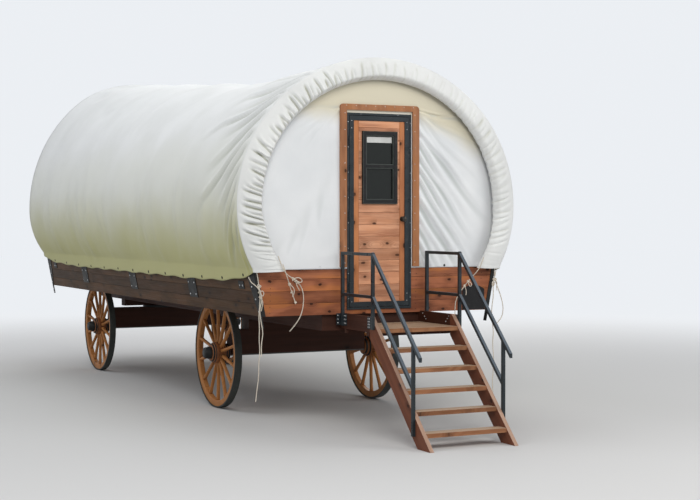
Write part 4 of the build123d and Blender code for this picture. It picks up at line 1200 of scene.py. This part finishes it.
def build_bracket_bolts():
    """Bolts of the landing's steel brackets: outside and inside its rims, and on their wings."""
    # Each bolt as its distance from the wall and its height
    outer = [(depth, z) for depth in (0.069, 0.096) for z in (0.995, 1.03, 1.065)]
    outer += [(depth, z) for depth in (0.560, 0.585) for z in (0.990, 1.015, 1.04, 1.066)]
    inner = [(0.060, 1.066), (0.090, 1.036), (0.120, 1.012), (0.500, 1.012), (0.530, 1.040), (0.556, 1.066)]
    places = []
    for side in (-1, 1):
        for off_rim, facing, bolts in ((0.006, side, outer), (-RIM_THICKNESS, -side, inner)):
            face = STAIR_CENTRE + side * (STAIR_HALF_WIDTH + off_rim)
            places += [((face, WALL_Y - depth, z), (facing, 0, 0)) for depth, z in bolts]
        places += on_wall([STAIR_CENTRE + side * (STAIR_HALF_WIDTH + 0.045)], 0.006, (0.995, 1.03, 1.065))
    fasteners("bracket_bolts", "wagon", ZINC, "rail_steel", places, radius=0.0065, height=0.006)


def build_side_bolts():
    """Bolts of the corner irons, and of the three large and two small plates along each side."""
    corner = [(0.020, 0.982), (0.020, 1.028), (0.03, 1.12), (0.05, 1.235), (0.09, 1.35), (0.12, 1.46)]
    bolts = [(WALL_Y + from_end, z) for from_end, z in corner]
    bolts += [(FAR_WALL_Y - from_end, z) for from_end, z in corner]
    bolts += [(WALL_Y + plate + aside, z) for plate in (1.710, 3.657, 5.605) for aside in (-0.08, 0.08)
              for z in (1.21, 1.33)]
    bolts += [(WALL_Y + plate + aside, 1.352) for plate in (0.350, 6.965) for aside in (-0.035, 0.035)]
    places = [((side * side_x(z, SIDE_PLATE_FACE), y, z), side_facing(side))
              for side in (-1, 1) for y, z in bolts]
    fasteners("side_bolts", "wagon", ZINC, "dark_iron", places, radius=0.008, height=0.007)


def build_board_nails():
    """Nails in pairs at the ends of the end walls' planks and beside the door, clear of the black plate."""
    plate_left, plate_top = 0.9, 1.34
    places = []
    for row in range(BOARD_ROWS):
        middle = BOARD_BOTTOM + BOARD_PITCH * (row + 0.5)
        pair = (middle - 0.028, middle + 0.028)
        for x in (-1.14, 1.14, -0.40, 0.40):
            places += on_wall([x + 0.003 * row], 0, [z for z in pair if x < plate_left or z > plate_top])
            places += [((x, FAR_WALL_Y, z), TO_FAR_END) for z in pair]
    fasteners("board_nails", "wagon", IRON, "dark_iron", places, radius=0.004, height=0.001, sides=10)


def build_grommets():
    """Metal eyes along the cover's lower edges, and eyelets in the wall's cloth."""
    # Profiles as radius and height above the cloth
    eye = [(0.0075, -0.001), (0.0140, -0.001), (0.0150, 0.0008), (0.0125, 0.0028), (0.0090, 0.0026),
           (0.0075, 0.0010), (0.0001, 0.0006)]
    small_eye = [(0.0060, 0.0), (0.0115, 0.0), (0.0120, 0.0012), (0.0100, 0.0024), (0.0060, 0.0012),
                 (0.0001, 0.0008)]
    grommets = Shape()
    for side in (-1, 1):
        for index in range(GROMMET_COUNT):
            y = WALL_Y + GROMMET_START + GROMMET_PITCH * index
            z = cover_foot(y, side) + 0.030
            grommets.lathe(eye, (side * side_x(z, COVER_OFF + 0.001), y, z), side_facing(side), 16)
    grommets.piece("cover_grommets", "wagon", IRON, "dark_iron")
    eyelets = Shape()
    for centre, facing in on_wall((-1.06, -0.86, -0.63, 0.72, 0.95), 0.0055, [1.524]):
        eyelets.lathe(small_eye, centre, facing, 16)
    eyelets.piece("wall_eyelets", "wagon", IRON, "dark_iron")


build_door_boards()
build_window_parts()
build_wall_screws()
build_bracket_bolts()
build_side_bolts()
build_board_nails()
build_grommets()


# Wheels

RIM_MIDDLE = WHEEL_FACE - TYRE_WIDTH / 2
RIM_OUTER = WHEEL_RADIUS - TYRE_THICKNESS
RIM_INNER = RIM_OUTER - FELLOE_DEPTH
SPOKE_DISH = 0.012               # how far the spokes lean in towards the hub
FELLOE_GAP = 0.0016 / RIM_OUTER  # angle of half a joint between felloes

# A spoke's sections: distance from the axle, half width and half depth
SPOKE_SECTIONS = [(0.095, 0.020, 0.024), (0.125, 0.020, 0.023), (0.165, 0.0155, 0.0195),
                  (0.24, 0.0145, 0.019), (0.34, 0.0145, 0.0175), (0.44, 0.0155, 0.018),
                  (0.478, 0.0165, 0.020), (RIM_INNER + 0.004, 0.0165, 0.020)]
# The turned hub: radius and place along the axle
HUB_PROFILE = [(SPINDLE_BORE, HUB_INNER_FACE), (0.078, HUB_INNER_FACE), (0.083, 0.799), (0.085, 0.812),
               (0.086, 0.824), (0.092, 0.832), (0.104, 0.846), (0.109, 0.862), (0.109, 0.885),
               (0.1075, 0.888), (0.1075, 0.927), (0.109, 0.930), (0.109, 0.948), (0.103, 0.962),
               (0.090, 0.976), (0.085, 0.984), (0.084, HUB_OUTER_FACE), (SPINDLE_BORE, HUB_OUTER_FACE)]
# The hub's bands: inner and outer place along the axle, and radius
HUB_BANDS = [(0.800, 0.822, 0.0875), (0.838, 0.852, 0.1075), (0.955, 0.966, 0.1035), (0.972, 0.988, 0.0915)]
# The hub's nose cap: radius and distance from the outer face
NOSE_PROFILE = [(SPINDLE_BORE, 0), (0.064, 0), (0.065, 0.004), (0.065, 0.030), (0.061, 0.036), (0.058, 0.060),
                (0.052, 0.072), (0.040, 0.078), (0.0, 0.079)]


def wheel_ring(section, angle, side, y):
    """A section of (along the axle, aside, from the axle) points, turned about the axle at y."""
    ring = []
    for along, aside, out in section:
        ring.append(Vector((side * along, y + aside * math.cos(angle) - out * math.sin(angle),
                            WHEEL_RADIUS + aside * math.sin(angle) + out * math.cos(angle))))
    return ring


def fuller(value):
    """A cosine or sine, for an oval that is fuller than an ellipse."""
    return math.copysign(abs(value) ** 0.75, value)


def spoke_section(radius, half_width, half_depth):
    middle = RIM_MIDDLE - SPOKE_DISH * (1 - radius / RIM_INNER)
    return [(middle + fuller(math.cos(a)) * half_depth, fuller(math.sin(a)) * half_width, radius)
            for a in turns(16)]


def felloe_section():
    """A felloe's section, with rounded inner corners."""
    half, bevel = FELLOE_WIDTH / 2, 0.010
    right = [(half, RIM_OUTER), (half, RIM_INNER + bevel), (half - bevel * 0.4, RIM_INNER + bevel * 0.3),
             (half - bevel, RIM_INNER)]
    whole = [(-half, RIM_OUTER)] + right + [(-x, radius) for x, radius in reversed(right[1:])]
    return [(RIM_MIDDLE + x, 0, radius) for x, radius in whole]


def build_wheel(body, side, y):
    spokes = Shape()
    for angle in turns(SPOKE_COUNT):
        rings = [wheel_ring(spoke_section(*section), angle, side, y) for section in SPOKE_SECTIONS]
        spokes.tube([ring if side > 0 else ring[::-1] for ring in rings])
    spoke_piece = spokes.piece(body + "_spokes", body, SPOKE_WOOD, "wheel_wood")
    felloes = Shape()
    for joint in turns(FELLOE_COUNT):
        first = joint + math.pi / SPOKE_COUNT + FELLOE_GAP
        last = first + 2 * math.pi / FELLOE_COUNT - 2 * FELLOE_GAP
        rings = [wheel_ring(felloe_section(), angle, side, y) for angle in spread(first, last, 15)]
        felloes.tube([ring if side < 0 else ring[::-1] for ring in rings])
    soften(felloes.piece(body + "_felloes", body, SPOKE_WOOD, "wheel_wood", smooth=False), 0.0012, 1, 40.0)
    outward = (side, 0, 0)
    hub = Shape()
    hub.lathe([(radius, along - HUB_INNER_FACE) for radius, along in HUB_PROFILE],
              (side * HUB_INNER_FACE, y, WHEEL_RADIUS), outward, 48)
    hub.piece(body + "_hub", body, HUB_WOOD, "wheel_wood")
    irons = Shape()
    for inner, outer, radius in HUB_BANDS:
        width = outer - inner
        half = [(radius - 0.006, 0), (radius + 0.001, 0.001), (radius + 0.0022, 0.004)]
        band = half + [(out, width - along) for out, along in reversed(half)]
        irons.lathe(band, (side * inner, y, WHEEL_RADIUS), outward, 48)
    irons.lathe(NOSE_PROFILE, (side * HUB_OUTER_FACE, y, WHEEL_RADIUS), outward, 48)
    irons.piece(body + "_hub_bands", body, IRON, "dark_iron")
    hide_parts(body)


for end, y in (("rear", REAR_AXLE_Y), ("front", FRONT_AXLE_Y)):
    for side_name, side in (("left", -1), ("right", 1)):
        build_wheel("wheel_%s_%s" % (end, side_name), side, y)


# Floor, light and the last lines

# Each lamp: name, place, what it faces, power and colour
LAMP_SIZE = 6.0
LAMPS = [
    ("key_light", (-3.6, -13.0, 9.0), (0, -2, 1.5), 745.0, (1.0, 0.97, 0.92)),
    ("right_light", (8.0, -10.0, 6.0), (0, -2, 2.0), 345.0, (1.0, 0.98, 0.95)),
    ("left_light", (-8.0, 1.5, 10.5), (0, 0, 2.0), 310.0, (0.97, 0.98, 1.0)),
    ("top_light", (1.0, 2.0, 11.0), (0, 0, 2.0), 240.0, (0.97, 0.98, 1.0)),
    ("back_light", (6.0, 10.0, 7.0), (0, 0, 2.0), 320.0, (1.0, 0.97, 0.92)),
]
SKY_COLOR = (0.93, 0.96, 1.0)
SKY_STRENGTH = 0.42              # as a light
SKY_SEEN = 0.9                   # as the background
FLOOR_TONE = 0.62
FLOOR_HALF_SIZE = 60.0


def lamp_on_floor(paint, where, target, power):
    """Brightness that a lamp gives each place of the floor."""
    axis = (Vector(target) - Vector(where)).normalized()
    away = paint.vectors("SUBTRACT", paint.place, where)
    distance_squared = paint.vectors("DOT_PRODUCT", away, away).other("Value")
    along = paint.vectors("DOT_PRODUCT", away, tuple(axis)).other("Value")
    share = paint.math("MAXIMUM", along, 0.0) / (distance_squared * distance_squared)
    return share * (FLOOR_TONE * power * where[Z] / math.pi ** 2)


def floor_material():
    """Pale and matt; far out the eye sees it just as bright as the background that it meets."""
    paint = Paint("floor_pale")
    x, y, z = paint.axes(paint.place)
    far = paint.math("SQRT", x * x + y * y)
    missing = SKY_SEEN - SKY_STRENGTH * FLOOR_TONE
    for name, where, target, power, color in LAMPS:
        missing = paint.math("SUBTRACT", missing, lamp_on_floor(paint, where, target, power))
    glow = paint.math("MAXIMUM", missing, 0.0) * far.span(3.5, 15.0)
    return paint.finish(color=(FLOOR_TONE, FLOOR_TONE, FLOOR_TONE), roughness=1.0, specular=0.0,
                        glow_color=SKY_COLOR, glow=glow * paint.seen_share())


def make_stage():
    """A plain pale floor that runs into a plain background."""
    half = FLOOR_HALF_SIZE
    mesh = bpy.data.meshes.new("floor")
    corners = [(-half, -half, 0), (half, -half, 0), (half, half, 0), (-half, half, 0)]
    mesh.from_pydata(corners, [], [(0, 1, 2, 3)])
    mesh.materials.append(floor_material())
    floor = add_object("floor", mesh)
    floor.location.z = -0.001


def make_lights():
    """A soft sky and square lamps."""
    world = bpy.data.worlds.new("soft_sky")
    sky = Nodes(world)
    strength = sky.seen_share().span(0.0, 1.0, SKY_STRENGTH, SKY_SEEN)
    sky.node("OutputWorld", {0: sky.node("Background", {"Color": SKY_COLOR, "Strength": strength})})
    bpy.context.scene.world = world
    for name, where, target, power, color in LAMPS:
        data = bpy.data.lights.new(name, "AREA")
        data.size = LAMP_SIZE
        data.energy = power
        data.color = color
        lamp = add_object(name, data)
        lamp.location = where
        lamp.rotation_mode = "QUATERNION"
        lamp.rotation_quaternion = (Vector(target) - Vector(where)).to_track_quat("-Z", "Y")


make_stage()
make_lights()
bpy.context.scene.view_settings.view_transform = "Standard"
